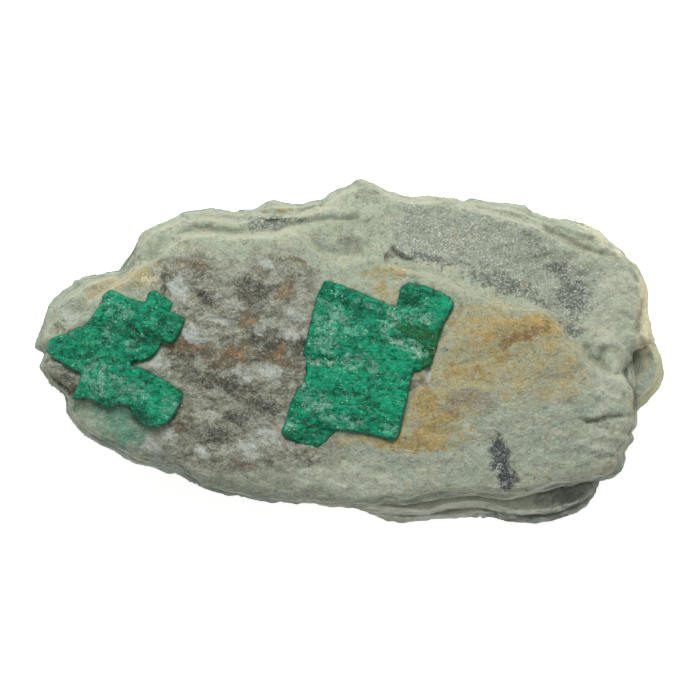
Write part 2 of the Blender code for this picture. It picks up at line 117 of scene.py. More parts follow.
# Outline of the slab seen from above, clockwise from its left tip.
WEST_TIP = [(34, 347), (38, 336), (44, 318), (48, 305), (57, 296), (66, 288), (74, 284), (72, 282),
            (82, 276), (95, 274), (110, 270), (119, 269)]
NORTH_WEST = [(121, 266), (130, 252), (138, 234), (146, 228), (155, 227), (170, 219), (187, 211.5),
              (210, 208), (222, 209.5), (230, 212), (250, 210), (258, 209), (270, 202), (285, 202),
              (295, 203.5), (314, 202), (328, 196), (342, 189), (352, 184), (360, 179.5)]
NORTH_EAST = [(368, 180.5), (378, 184.5), (387, 191.5), (400, 195.5), (413, 198), (426, 197),
              (448, 201), (463, 202.5), (471, 199), (492, 202), (510, 202.5), (525, 206),
              (533, 211.5), (548, 216), (571, 220), (588, 225.5), (601, 230), (611, 240),
              (624, 250), (630, 259), (641, 270), (648, 284), (650, 292), (650, 310), (652, 328),
              (657, 344)]
EAST_BLOCK = [(663, 357), (665, 377), (661, 388), (650, 399), (637, 412)]
SOUTH_EAST = [(637, 418), (636.5, 425), (631, 433), (633.5, 437), (633, 441), (625, 453),
              (626, 458), (623, 470), (612, 478), (601, 481)]
LOW_LEDGE = [(600, 487), (598, 495), (590, 507), (578, 516), (560, 521), (535, 525), (508, 521.5),
             (480, 518), (462, 520), (430, 522.5), (400, 524), (382, 520.5), (364, 514), (352, 507)]
SOUTH_WEST = [(345, 506.5), (325, 506), (315, 503.5), (298, 504.5), (280, 502), (252, 500),
              (238, 494.5), (228, 494), (203, 487), (190, 480.5), (174, 471), (168, 472),
              (158, 467.5), (138, 463.5), (124, 456), (107, 446), (87, 435), (74, 425), (65, 411),
              (66, 402), (63, 393), (50, 383), (39.5, 368), (39.5, 365), (44, 357), (44, 352)]

# Edges of the broken foliation sheets inside that outline.
FACE_OVER_LEDGE = [(600, 480.5), (588, 482.5), (562, 486), (545, 491), (525, 496), (512, 499),
                   (500, 498), (480, 495), (465, 496), (445, 497.5), (426, 501), (408, 505),
                   (398, 504.5), (385, 501.5), (372, 505), (352, 507)]
LEDGE_STEP = [(600, 488), (585, 504), (560, 513), (545, 516), (525, 517), (510, 516.5),
              (492, 511.5), (475, 508), (460, 509.5), (448, 511), (428, 516), (400, 516),
              (385, 514), (365, 511), (355, 508)]
FACE_OVER_EAST_BLOCK = [(632, 352), (633, 360), (626, 370), (625.5, 375), (634, 390),
                        (633.5, 396), (636.5, 411)]
FACE_OVER_WEST_RIM = [(45, 352), (50, 337), (62, 328), (78, 311), (85, 299), (98, 290), (108, 283),
                      (122, 275), (135, 262), (152, 256), (161, 249), (165, 243), (169, 239)]
FACE_OVER_NORTH_STRIP = [(180, 232), (193, 229), (208, 229), (230, 231), (247, 231.5), (262, 230),
                         (275, 229.5), (287, 224.5), (300, 222.5)]
FACE_OVER_SCOOP = [(306, 232), (313, 240), (320, 247), (332, 253), (345, 257), (355, 255),
                   (365, 253), (375, 250), (382, 247), (386, 243), (390, 241), (390, 250),
                   (392, 260)]
FACE_OVER_HOLLOW = [(400, 262), (420, 267), (435, 271), (450, 275), (465, 282), (480, 289),
                    (495, 296), (515, 301), (540, 304), (550, 308), (558, 316), (567, 326),
                    (573, 338), (586, 347), (591, 358), (603, 367), (608, 370)]
NORTH_STRIP = [(183, 216), (190, 218), (205, 214.5), (225, 216.5), (240, 218), (255, 213),
               (270, 212), (300, 211), (310, 208), (322, 204)]
HOLLOW_OVER_RIM = [(455, 201), (466, 204), (478, 207), (500, 211), (520, 217), (532, 220),
                   (545, 226), (557, 234), (575, 244), (595, 250), (616, 255.5), (630, 266),
                   (638, 279), (643, 295), (642, 310), (639, 322), (643, 342), (634, 350)]

# Outlines of the smaller sheets. Where another sheet covers an edge, it runs on under that sheet.
EAST_STEP = [(632, 352), (633, 360), (634, 366), (637, 382), (636, 396), (637, 411), (600, 411),
             (600, 352)]
EAST_SHOULDER = [(556, 312), (572, 312), (592, 318), (616, 330), (632, 346), (632, 360), (625, 372),
                 (625, 380), (580, 380), (556, 350)]
HOLLOW_WEST = [(340, 190), (352, 184), (360, 179.5)]
HOLLOW_UNDER_FACE = [(500, 420), (330, 300)]
STRIP_WEST = [(130, 262), (138, 240), (150, 229), (172, 221)]
STRIP_UNDER_FACE = [(345, 200), (345, 300), (150, 300)]
OUTER_STRIP = [(172, 222), (186, 212.5), (210, 208), (230, 212), (258, 209), (270, 202),
               (295, 203.5), (322, 200), (330, 240), (180, 240)]
PEAK = [(300, 222.5), (300, 213), (322, 203), (328, 196), (352, 184), (360, 180.5), (368, 181),
        (378, 185), (387, 192), (396, 196), (399, 225), (396, 245), (394, 262), (300, 262)]
WEST_RIM = [(44, 352), (38, 340), (46, 318), (50, 306), (59, 298), (68, 290), (76, 285), (84, 279),
            (96, 276), (112, 272), (122, 270), (160, 250), (160, 340)]
FACE_SOUTH_EAST = [(626, 374), (634, 390), (636.5, 411)]

# Crystal blocks: the outline of each as seen from above.
LEFT_END_BLOCK = [(46, 352), (48, 345), (50, 339), (60, 334.5), (73, 331), (77, 326.5), (86, 327),
                  (94, 335), (98, 352), (90, 366), (81, 373), (70, 369), (61, 362.5), (52, 358)]
LEFT_MAIN_BLOCK = [(97, 309), (103, 302), (102.5, 296), (110, 289.5), (121, 293.5), (132, 299),
                   (146, 303), (166, 310), (178, 314), (186, 319.5), (183, 328), (178, 338),
                   (171, 344), (163, 342), (130, 331), (91, 320), (93, 315)]
LEFT_SMALL_BLOCK = [(147, 298), (149, 292), (155, 290), (167, 298), (174, 303), (171, 309),
                    (160, 318), (144, 308)]
LEFT_FRONT_BLOCK = [(84, 326), (92, 317), (128, 327), (163, 341), (158, 351), (151, 359),
                    (142, 361.5), (133, 362), (118, 363.5), (106, 366), (95, 368), (84, 368),
                    (78, 345)]
LEFT_PRISM = [(84, 362), (94, 352), (108, 352), (120, 356), (130, 362), (132, 365), (140, 368),
              (152, 373.5), (160, 377), (172, 384), (184, 393), (181, 402), (176, 413), (168, 424),
              (157, 428.5), (148, 427), (139, 421), (132, 414), (130, 407.5), (118, 404.5),
              (110, 408.5), (98, 403), (86, 398.5), (71, 400), (76, 389), (80, 380)]
RIGHT_UPPER_BLOCK = [(324, 281), (329, 280.5), (346, 287), (369, 296), (390, 305.5), (386, 312),
                     (380, 321), (379, 328), (385, 333), (388, 341), (388, 348), (383, 358), (368, 361),
                     (352, 359), (335, 358), (318, 357), (309, 357.5), (303, 353.5), (307, 338),
                     (311.5, 318), (315.5, 300)]
RIGHT_LOWER_BLOCK = [(309.5, 369), (313, 367), (330, 366.5), (346, 367), (356, 364), (363, 352),
                     (368, 345.5), (384, 343), (399, 346), (413, 350), (419.5, 354), (417, 364),
                     (412.5, 374), (410, 384), (408, 398), (404, 412), (401.5, 424), (399.5, 434),
                     (396, 439), (391, 440.5), (383, 437.5), (366, 434), (345, 430.5), (322, 429),
                     (300, 389), (304, 379)]
RIGHT_VEIN_BLOCK = [(304.5, 352), (346, 352), (366, 350), (372, 374), (346, 375), (306, 374)]
RIGHT_LOW_CORNER_BLOCK = [(299, 387), (291, 402), (286.5, 417), (281.5, 432.5), (287, 438.5),
                          (300, 443.5), (309, 446), (319, 447), (326, 441.5), (331, 435),
                          (338, 430.5), (334, 405), (310, 384)]
RIGHT_CORNER_BLOCK = [(400, 290), (403, 285), (410, 282.5), (424, 285), (438, 291), (450, 297),
                      (454, 302), (453, 307.5), (449, 314.5), (444.5, 322), (442, 331),
                      (438, 339.5), (436, 350), (433, 358), (430, 366.5), (425, 368.5), (419, 364),
                      (418, 352), (408, 344), (396, 338), (392, 330), (392, 320), (395, 310),
                      (398, 300)]
RIGHT_MILKY_BLOCK = [(374, 324), (382, 312), (389, 305.5), (404, 306), (412, 330), (430, 345),
                     (427, 366), (420, 371.5), (412, 372), (400, 356), (382, 350)]

# Each block: its outline, how far it stands above the rock, how its top leans from the rock's face,
# and how deep it reaches below its top.
CRYSTALS = {
    "emerald_left_group": (
        (LEFT_MAIN_BLOCK, 0.85, (0.02, 0.01), 3.8), (LEFT_FRONT_BLOCK, 0.7, (0.0, 0.02), 3.4),
        (LEFT_END_BLOCK, 0.6, (0.01, 0.0), 2.2), (LEFT_SMALL_BLOCK, 0.7, (0.01, -0.02), 3.0),
        (LEFT_PRISM, 0.7, (0.01, 0.02), 3.0)),
    "emerald_right_group": (
        (RIGHT_UPPER_BLOCK, 0.8, (0.0, 0.01), 3.8), (RIGHT_LOWER_BLOCK, 0.85, (0.01, 0.0), 4.0),
        (RIGHT_VEIN_BLOCK, 0.6, (0.0, 0.0), 3.4), (RIGHT_LOW_CORNER_BLOCK, 0.6, (0.0, 0.01), 3.2),
        (RIGHT_CORNER_BLOCK, 0.7, (-0.02, -0.01), 3.4), (RIGHT_MILKY_BLOCK, 0.5, (0.0, 0.0), 3.0)),
}

# Stained and mottled areas of the rock, and places of painted light and shade: pixel, radii in pixels,
# and turn in degrees, clockwise.
MOTTLED = [((230, 330), (66, 58), 20), ((225, 405), (60, 50), 25), ((205, 440), (45, 30), 25),
           ((195, 290), (36, 32), 0), ((275, 288), (38, 30), 0), ((65, 378), (20, 14), 45),
           ((296, 375), (22, 60), 10), ((285, 448), (45, 16), 5), ((180, 370), (30, 30), 0)]
QUARTZ = [((179, 289), (8, 14), 10), ((266, 262), (8, 7), 0), ((294, 315), (9, 7), 30),
          ((272, 374), (10, 6), 25), ((271, 434), (9, 7), 0), ((202, 454), (11, 5), 40),
          ((171, 435), (8, 5), 40), ((195, 335), (14, 7), 10), ((258, 330), (6, 5), 0),
          ((70, 316), (9, 8), 0), ((160, 362), (12, 4), 35), ((240, 375), (10, 5), 20),
          ((423, 373), (6, 5), 0), ((222, 322), (8, 4), 10), ((250, 448), (8, 6), 20),
          ((288, 338), (7, 5), 0), ((152, 445), (9, 5), 30)]
SMOKE = [((252, 292), (20, 13), 20), ((280, 344), (14, 10), 10), ((230, 384), (26, 6), 12),
         ((165, 284), (5, 13), 0), ((262, 345), (15, 14), 20), ((301, 350), (7, 12), 0),
         ((188, 352), (22, 6), 5), ((262, 404), (22, 7), 10), ((218, 435), (16, 8), 20),
         ((200, 376), (20, 8), 10), ((236, 418), (12, 6), 0), ((66, 385), (11, 8), 45),
         ((150, 420), (14, 5), 20), ((205, 300), (9, 8), 0), ((410, 386), (6, 5), 0)]
RUST = [((208, 350), (42, 6), 8), ((242, 353), (12, 8), 30), ((278, 358), (13, 9), 20),
        ((192, 264), (11, 4), 10), ((288, 286), (10, 10), 0), ((302, 259), (8, 4), 20),
        ((64, 330), (7, 2.5), 20), ((248, 318), (8, 9), 0), ((182, 424), (8, 7), 0),
        ((240, 466), (16, 3), 10), ((290, 258), (12, 2.5), -5), ((225, 360), (18, 10), 10)]
GOLD = [((538, 321), (14, 5), 25), ((483, 334), (9, 6), 0), ((505, 320), (16, 4), 0),
        ((428, 438), (18, 5), 15), ((553, 330), (8, 5), 0)]
UMBER = [((524, 335), (18, 5), -16), ((505, 343), (8, 4), -20), ((545, 327), (6, 4), 0)]
ORANGE = [((238, 354), (10, 4), 20), ((280, 352), (6, 4), 0), ((192, 347), (14, 2), 5),
          ((296, 261), (6, 1.5), 5), ((288, 290), (8, 3), -10),
          ((250, 320), (5, 3), 0), ((524, 282), (3, 3), 0), ((543, 437), (2, 2), 0),
          ((551, 479), (2, 2), 0)]
TAN = [((490, 328), (48, 22), 8), ((505, 366), (68, 30), 8), ((450, 385), (34, 32), 0),
       ((435, 415), (34, 28), 10), ((405, 442), (42, 8), 8), ((372, 438), (36, 5), 4),
       ((388, 292), (14, 9), 20), ((142, 276), (22, 8), -10), ((540, 360), (38, 30), 20),
       ((550, 324), (12, 8), 0), ((105, 288), (20, 6), -25), ((385, 272), (20, 5), 0),
       ((285, 204), (30, 5), -4)]
OCHRE = [((436, 424), (12, 10), 10), ((410, 443), (30, 5), 6), ((488, 333), (9, 6), 0),
         ((552, 325), (8, 6), 0), ((447, 412), (12, 6), 0),
         ((500, 355), (16, 5), 10), ((426, 402), (8, 12), 0),
         ((528, 330), (26, 11), -5), ((470, 372), (20, 5), 10)]
TAUPE = [((470, 398), (20, 7), 5), ((490, 408), (9, 5), 0), ((418, 384), (8, 4), -20),
         ((330, 440), (10, 8), 0), ((612, 466), (12, 6), -30), ((454, 405), (12, 5), 0)]
MICA_FIELD = [((470, 240), (74, 26), 8), ((520, 258), (66, 28), 14), ((425, 232), (34, 24), 0),
              ((570, 292), (26, 24), 40), ((272, 222), (26, 6), -8)]
# Dark mica, and painted shade in the recess at the top left and in the hole beside the face's lip.
MICA_DARK_AND_PAINTED_SHADE = [((430, 260), (40, 3.5), 6), ((500, 284), (28, 8), 16), ((532, 297), (22, 5), 20),
             ((557, 270), (11, 6), 20), ((573, 297), (12, 16), -30), ((572, 325), (8, 8), 0),
             ((402, 255), (6, 3), 30), ((272, 222), (25, 5), -8), ((600, 423), (7, 4), 0),
             ((502, 466), (8, 20), -16)]
MICA_BLUE = [((503, 460), (8, 19), -16), ((508, 480), (10, 7), 0)]
# Painted light: paler spots on the lower ledge, which lies in the face's shadow.
LEDGE_PAINTED_LIGHT = [((465, 506), (130, 18), 0)]
# Painted shade: dark spots at the feet of ledges and under the face's edge.
LEDGE_FOOT_PAINTED_SHADE = [((574, 495), (30, 12), -10), ((530, 518), (60, 3), 0), ((648, 352), (6, 8), 0),
         ((632, 404), (5, 8), 0)]
LUMPY = [((622, 318), (34, 70), 0), ((600, 428), (50, 45), 0), ((150, 450), (90, 26), 22),
         ((270, 478), (110, 22), 8), ((230, 214), (90, 16), -4), ((600, 240), (60, 20), 28),
         ((90, 290), (50, 20), -25), ((560, 262), (40, 40), 20), ((345, 210), (40, 24), 0)]
GREEN_HAZE = [((118, 428), (34, 12), 22), ((110, 412), (24, 9), 10), ((393, 332), (7, 13), 0),
              ((398, 322), (5, 10), 0)]
GREEN_GAPS = [((140, 364), (12, 3), 22), ((70, 408), (10, 5), 0)]
WHITE_VEIN = [((86, 420), (22, 12), 30), ((345, 478), (50, 13), 5), ((618, 302), (22, 40), 0),
              ((645, 380), (12, 20), 0), ((466, 426), (8, 4), 50), ((612, 380), (14, 18), 0),
              ((600, 440), (16, 12), 0)]
# A greyer tone at the lower left, and painted shade in the scoop under the face's lip.
DULL_TONE_AND_PAINTED_SHADE = [((256, 482), (60, 13), 8), ((170, 456), (30, 12), 25), ((345, 247), (28, 6), -4)]
# Painted highlight: pale warm light on the rims at the right, the top right and the upper left.
RIM_PAINTED_HIGHLIGHT = [((646, 322), (7, 44), 0), ((604, 236), (44, 6), 33), ((150, 278), (7, 3), -10)]

# Open cracks and the feet of ledges, carved into the rock and darkened by painted shade: a line of pixel
# points, its half width and its depth in mm.
CREVICES = [
    (FACE_OVER_NORTH_STRIP, 0.20, 0.4),
    (NORTH_STRIP, 0.18, 0.4),
    ([(193, 226), (200, 228), (208, 227)], 0.20, 0.4),
    ([(300, 222), (310, 221), (320, 219), (330, 217.5), (338, 219), (350, 219), (357, 217)], 0.20, 0.5),
    ([(313, 240), (320, 247), (330, 251), (340, 254), (350, 253), (360, 251)], 0.25, 0.3),
    ([(345, 250), (350, 243), (352, 232), (357, 222)], 0.30, 0.15),
    ([(316, 268), (325, 262)], 0.15, 0.15),
    ([(393, 249), (396, 254), (403, 258), (413, 261)], 0.18, 0.7),
    ([(355, 183), (362, 185), (370, 187), (374, 190), (380, 193)], 0.20, 0.4),
    ([(362, 195), (360, 205), (358, 213), (352, 218)], 0.45, 0.12),
    ([(478, 207), (490, 209), (500, 211), (510, 214), (520, 217), (528, 218.5)], 0.17, 0.4),
    ([(528, 209), (532, 215), (540, 218.5), (550, 222)], 0.17, 0.4),
    ([(545, 226), (550, 232), (557, 234), (564, 237), (575, 244), (587, 249), (602, 254)], 0.19, 0.45),
    ([(552, 223), (558, 226), (575, 234), (593, 240)], 0.17, 0.3),
    ([(602, 254), (616, 255.5)], 0.25, 0.3),
    ([(630, 270), (634, 275), (638, 281)], 0.22, 0.35),
    ([(643, 300), (643, 308), (639, 320), (638, 325), (642, 340), (645, 345)], 0.22, 0.4),
    ([(632, 352), (633, 360), (630, 365), (626, 370), (627, 380), (634, 390), (636, 408)], 0.24, 0.7),
    ([(585, 345), (590, 352), (591, 358), (597, 362)], 0.35, 0.35),
    ([(601, 350), (604, 353), (601, 362), (603, 367), (608, 370)], 0.35, 0.4),
    ([(587, 422), (595, 421.5), (602, 418), (610, 417), (620, 416), (628, 415)], 0.22, 0.6),
    ([(570, 403), (575, 410), (580, 418), (587, 421)], 0.30, 0.2),
    ([(600, 457), (612, 456)], 0.20, 0.25),
    ([(611, 438), (613, 432)], 0.25, 0.2),
    ([(624, 395), (623, 402)], 0.25, 0.3),
    ([(416, 430), (416, 438), (418, 447)], 0.14, 0.25),
    ([(458, 300), (461, 308), (458, 318), (450, 325), (440, 340), (435, 350), (430, 365),
      (425, 378), (415, 388), (410, 400), (405, 415), (400, 430)], 0.17, 0.3),
    (LEDGE_STEP, 0.18, 0.5),
    (FACE_OVER_LEDGE, 0.26, 0.4),
    ([(120, 276), (128, 268), (135, 257)], 0.40, 0.4),
    ([(150, 256), (158, 250), (161, 240)], 0.50, 0.25),
]


def to_mm(point):
    """A pixel of the photo as real millimetres from the slab's centre."""
    return ((point[0] - PHOTO_CENTRE[0]) * MM_PER_PIXEL, (PHOTO_CENTRE[1] - point[1]) * MM_PER_PIXEL)


def outline_mm(*stretches):
    """One closed outline in millimetres, from stretches of pixel points laid end to end."""
    return [to_mm(point) for stretch in stretches for point in stretch]


def offset_outline(outline, distance):
    """The outline moved outward by distance, with mitred corners (a negative one moves it inward)."""
    count = len(outline)
    area = sum(outline[i - 1][0] * outline[i][1] - outline[i][0] * outline[i - 1][1]
               for i in range(count))
    sign = 1.0 if area > 0 else -1.0
    moved = []
    for i in range(count):
        here = Vector(outline[i])
        before = (here - Vector(outline[i - 1])).normalized()
        after = (Vector(outline[(i + 1) % count]) - here).normalized()
        tangent = (before + after).normalized()
        mitre = max(0.6, tangent.dot(after))
        outward = Vector((tangent.y, -tangent.x)) * sign
        moved.append(tuple(here + outward * (distance / mitre)))
    return moved


def close_rings(mesh, rings):
    """Joins rings of corners, lowest first, into one closed solid."""
    count = len(rings[0])
    for low, high in zip(rings, rings[1:]):
        for i in range(count):
            j = (i + 1) % count
            mesh.faces.new((low[i], low[j], high[j], high[i]))
    mesh.faces.new(rings[-1])
    mesh.faces.new(list(reversed(rings[0])))


def add_slab(mesh, outline, bottom, top, batter=EDGE_BATTER, fall=(0.0, 0.0)):
    """One foliation sheet: the outline from bottom to top, its top edge drawn in by batter."""
    rings = []
    for ring_outline, height in ((outline, bottom), (offset_outline(outline, -batter), top)):
        tilt = fall if height == top else (0.0, 0.0)
        rings.append([mesh.verts.new((x, y, height + tilt[0] * x + tilt[1] * y))
                      for x, y in ring_outline])
    close_rings(mesh, rings)


def from_spine(x, y):
    """The nearest point of the slab's long axis and the way out from it to a place in plan."""
    spine = Vector((min(max(x, SPINE_WEST), SPINE_EAST), SPINE_FALL * x))
    return spine, Vector((x, y)) - spine


def toward_spine(outline, inset, roughness, layer):
    """The outline drawn in toward the slab's long axis, unevenly, and twice as far at its ends."""
    moved = []
    for x, y in outline:
        spine, out = from_spine(x, y)
        wander = noise.noise(Vector((x * 0.11, y * 0.11, layer * 3.7)))
        pull = max(0.0, inset * (1.0 + (x / HALF_LENGTH) ** 4) + roughness * wander)
        moved.append(tuple(spine + out * (1.0 - pull / max(out.length, SPINE_CLEAR))))
    return moved


def build_slabs():
    """All the foliation sheets of the rock as overlapping closed solids in one mesh."""
    whole = outline_mm(WEST_TIP, NORTH_WEST, NORTH_EAST, EAST_BLOCK, SOUTH_EAST, LOW_LEDGE, SOUTH_WEST)
    high_ledge = outline_mm(WEST_TIP, NORTH_WEST, NORTH_EAST, EAST_BLOCK, SOUTH_EAST, LEDGE_STEP,
                            SOUTH_WEST)
    no_ledge = outline_mm(WEST_TIP, NORTH_WEST, NORTH_EAST, EAST_BLOCK, SOUTH_EAST, FACE_OVER_LEDGE,
                          SOUTH_WEST)
    no_block = outline_mm(WEST_TIP, NORTH_WEST, NORTH_EAST, FACE_OVER_EAST_BLOCK, SOUTH_EAST,
                          FACE_OVER_LEDGE, SOUTH_WEST)
    mesh = bmesh.new()
    layer = 0
    for sheets, outline in ((FOOT_SHEETS, whole), (MIDDLE_SHEETS, no_ledge), (UPPER_SHEETS, no_block)):
        for bottom, top, inset, roughness in sheets:
            add_slab(mesh, toward_spine(outline, inset, roughness, layer), bottom, top)
            layer += 1
    add_slab(mesh, whole, LEDGE_LOW_BOTTOM, LEDGE_LOW_TOP)
    add_slab(mesh, high_ledge, LEDGE_HIGH_BOTTOM, LEDGE_HIGH_TOP)
    add_slab(mesh, no_ledge, EAST_BLOCK_BOTTOM, EAST_BLOCK_TOP, SIDE_BATTER, EAST_BLOCK_FALL)
    add_slab(mesh, no_block, RIM_BOTTOM, RIM_TOP, SIDE_BATTER)
    add_slab(mesh, outline_mm(EAST_STEP), EAST_STEP_BOTTOM, EAST_STEP_TOP)
    hollow = outline_mm(HOLLOW_WEST, NORTH_EAST[:6], HOLLOW_OVER_RIM, FACE_OVER_EAST_BLOCK[1:],
                        HOLLOW_UNDER_FACE)
    add_slab(mesh, hollow, UPPER_BOTTOM, HOLLOW_TOP, EDGE_BATTER, HOLLOW_FALL)
    add_slab(mesh, outline_mm(EAST_SHOULDER), UPPER_BOTTOM, EAST_SHOULDER_TOP, SIDE_BATTER)
    strip = outline_mm(STRIP_WEST, NORTH_STRIP, STRIP_UNDER_FACE)
    add_slab(mesh, strip, UPPER_BOTTOM, STRIP_TOP)
    add_slab(mesh, outline_mm(OUTER_STRIP), UPPER_BOTTOM, OUTER_STRIP_TOP)
    add_slab(mesh, outline_mm(PEAK), UPPER_BOTTOM, PEAK_TOP, EDGE_BATTER, PEAK_FALL)
    add_slab(mesh, outline_mm(WEST_RIM), WEST_RIM_BOTTOM, WEST_RIM_TOP, SIDE_BATTER)
    face = outline_mm(FACE_OVER_WEST_RIM, FACE_OVER_NORTH_STRIP, FACE_OVER_SCOOP, FACE_OVER_HOLLOW,
                      FACE_SOUTH_EAST, SOUTH_EAST, FACE_OVER_LEDGE, SOUTH_WEST)
    add_slab(mesh, face, UPPER_BOTTOM, FACE_TOP, SIDE_BATTER)
    return mesh


def crown(x, y):
    """How far the main face falls below its highest stretch, as it curves down to its edges."""
    along = ((x - CROWN_CENTRE) / HALF_LENGTH) ** 2
    across = ((y - CROWN_CENTRE) / HALF_WIDTH) ** 2
    return CROWN_ALONG * along + CROWN_ACROSS * across


def distance_to(x, y, line):
    """Distance in millimetres from each place to the nearest stretch of a line of pixel points."""
    nearest = np.full(len(x), np.inf)
    points = [to_mm(point) for point in line]
    for (ax, ay), (bx, by) in zip(points, points[1:]):
        dx, dy = bx - ax, by - ay
        along = np.clip(((x - ax) * dx + (y - ay) * dy) / (dx * dx + dy * dy), 0.0, 1.0)
        nearest = np.minimum(nearest, np.hypot(x - ax - along * dx, y - ay - along * dy))
    return nearest


def dent(x, y, pixel, length, width, angle, depth):
    """A smooth elliptic hollow of the given depth around a pixel, its long axis turned by angle."""
    cx, cy = to_mm(pixel)
    turn = math.radians(angle)
    along = (x - cx) * math.cos(turn) + (y - cy) * math.sin(turn)
    across = -(x - cx) * math.sin(turn) + (y - cy) * math.cos(turn)
    return depth * np.exp(-(along / length) ** 2 - (across / width) ** 2)


def bend_sheets(x, y, z):
    """The slab's gentle curves: the crowned face, its worn edges, the hollow and the folded sheets."""
    high = np.clip(z / FACE_TOP, 0.0, 1.2) ** 2
    drop = crown(x, y)
    for line in (SOUTH_WEST[:WORN_POINTS], SOUTH_EAST, NORTH_WEST):
        drop += SHOULDER_DROP * np.exp(-distance_to(x, y, line) / SHOULDER_WIDTH)
    for pixel, length, width, angle, depth in DENTS:
        drop += dent(x, y, pixel, length, width, angle, depth)
    z = z - drop * high
    fold = np.sin(x / FOLD_LENGTH - y / FOLD_SLANT + FOLD_SHIFT)
    return z + FOLD_HEIGHT * fold * np.sin(np.pi * np.clip(z / FACE_TOP, 0, 1))


def noise_at(points, scale, seed, octaves=1):
    """Smooth noise from about -1 to 1 at each point, its size in millimetres given for x, y and z."""
    sx, sy, sz = scale
    out = np.empty(len(points))
    for i, (px, py, pz) in enumerate(points):
        place = Vector((px / sx + seed, py / sy - seed * 0.7, pz / sz + seed * 1.3))
        out[i] = noise.fractal(place, 0.8, 2.1, octaves) if octaves > 1 else noise.noise(place)
    return out


def terraces(value, sharpness):
    """Turns a smooth value into broken steps with flat treads: the edges of thin split sheets."""
    whole = np.floor(value)
    part = value - whole
    return whole + np.clip((part - 0.5) * sharpness + 0.5, 0.0, 1.0)


def get_points(mesh):
    """The mesh's corners as an array in millimetres or metres, whichever the mesh holds."""
    points = np.empty(len(mesh.vertices) * 3)
    mesh.vertices.foreach_get("co", points)
    return points.reshape(-1, 3)


def get_normals(mesh):
    """The mesh's corner normals as an array."""
    normals = np.empty(len(mesh.vertices) * 3)
    mesh.vertices.foreach_get("normal", normals)
    return normals.reshape(-1, 3)


def set_points(mesh, points):
    """Moves the mesh's corners to the array's places."""
    mesh.vertices.foreach_set("co", points.ravel())
    mesh.update()


def link_mesh(name, mesh):
    """A new scene object from a bmesh, which is freed."""
    bmesh.ops.recalc_face_normals(mesh, faces=mesh.faces)
    data = bpy.data.meshes.new(name)
    mesh.to_mesh(data)
    mesh.free()
    thing = bpy.data.objects.new(name, data)
    bpy.context.collection.objects.link(thing)
    return thing


def bake_modifiers(thing):
    """Replaces the object's mesh by what its modifiers make of it."""
    depsgraph = bpy.context.evaluated_depsgraph_get()
    baked = bpy.data.meshes.new_from_object(thing.evaluated_get(depsgraph))
    thing.modifiers.clear()
    thing.data = baked


def remesh(thing, voxel):
    """Fuses the object's overlapping solids into one even mesh."""
    fuse = thing.modifiers.new("fuse", "REMESH")
    fuse.mode = "VOXEL"
    fuse.voxel_size = voxel
    bake_modifiers(thing)


def keep_largest(thing):
    """Deletes the sealed shells that fusing left inside the object, and keeps its outer skin."""
    mesh = bmesh.new()
    mesh.from_mesh(thing.data)
    unseen = set(mesh.verts)
    shells = []
    while unseen:
        front = [unseen.pop()]
        shell = list(front)
        while front:
            for edge in front.pop().link_edges:
                for corner in edge.verts:
                    if corner in unseen:
                        unseen.remove(corner)
                        front.append(corner)
                        shell.append(corner)
        shells.append(shell)
    for shell in sorted(shells, key=len)[:-1]:
        bmesh.ops.delete(mesh, geom=shell, context="VERTS")
    mesh.to_mesh(thing.data)
    mesh.free()


def ellipses(x, y, places):
    """How deep each place in plan lies in the union of soft ellipses: 1 well inside and 0 outside."""
    deepest = np.zeros(len(x))
    for pixel, radii, angle in places:
        shape = dent(x, y, pixel, radii[0] * MM_PER_PIXEL, radii[1] * MM_PER_PIXEL, -angle, 1.5)
        deepest = np.maximum(deepest, np.clip(shape, 0.0, 1.0))
    return deepest


def inside(x, y, outline):
    """True for each place in plan that lies within a closed outline of points in mm."""
    within = np.zeros(len(x), dtype=bool)
    for (ax, ay), (bx, by) in zip(outline, outline[1:] + outline[:1]):
        if ay != by:
            reach = ax + (y - ay) * (bx - ax) / (by - ay)
            within ^= ((ay > y) != (by > y)) & (x < reach)
    return within


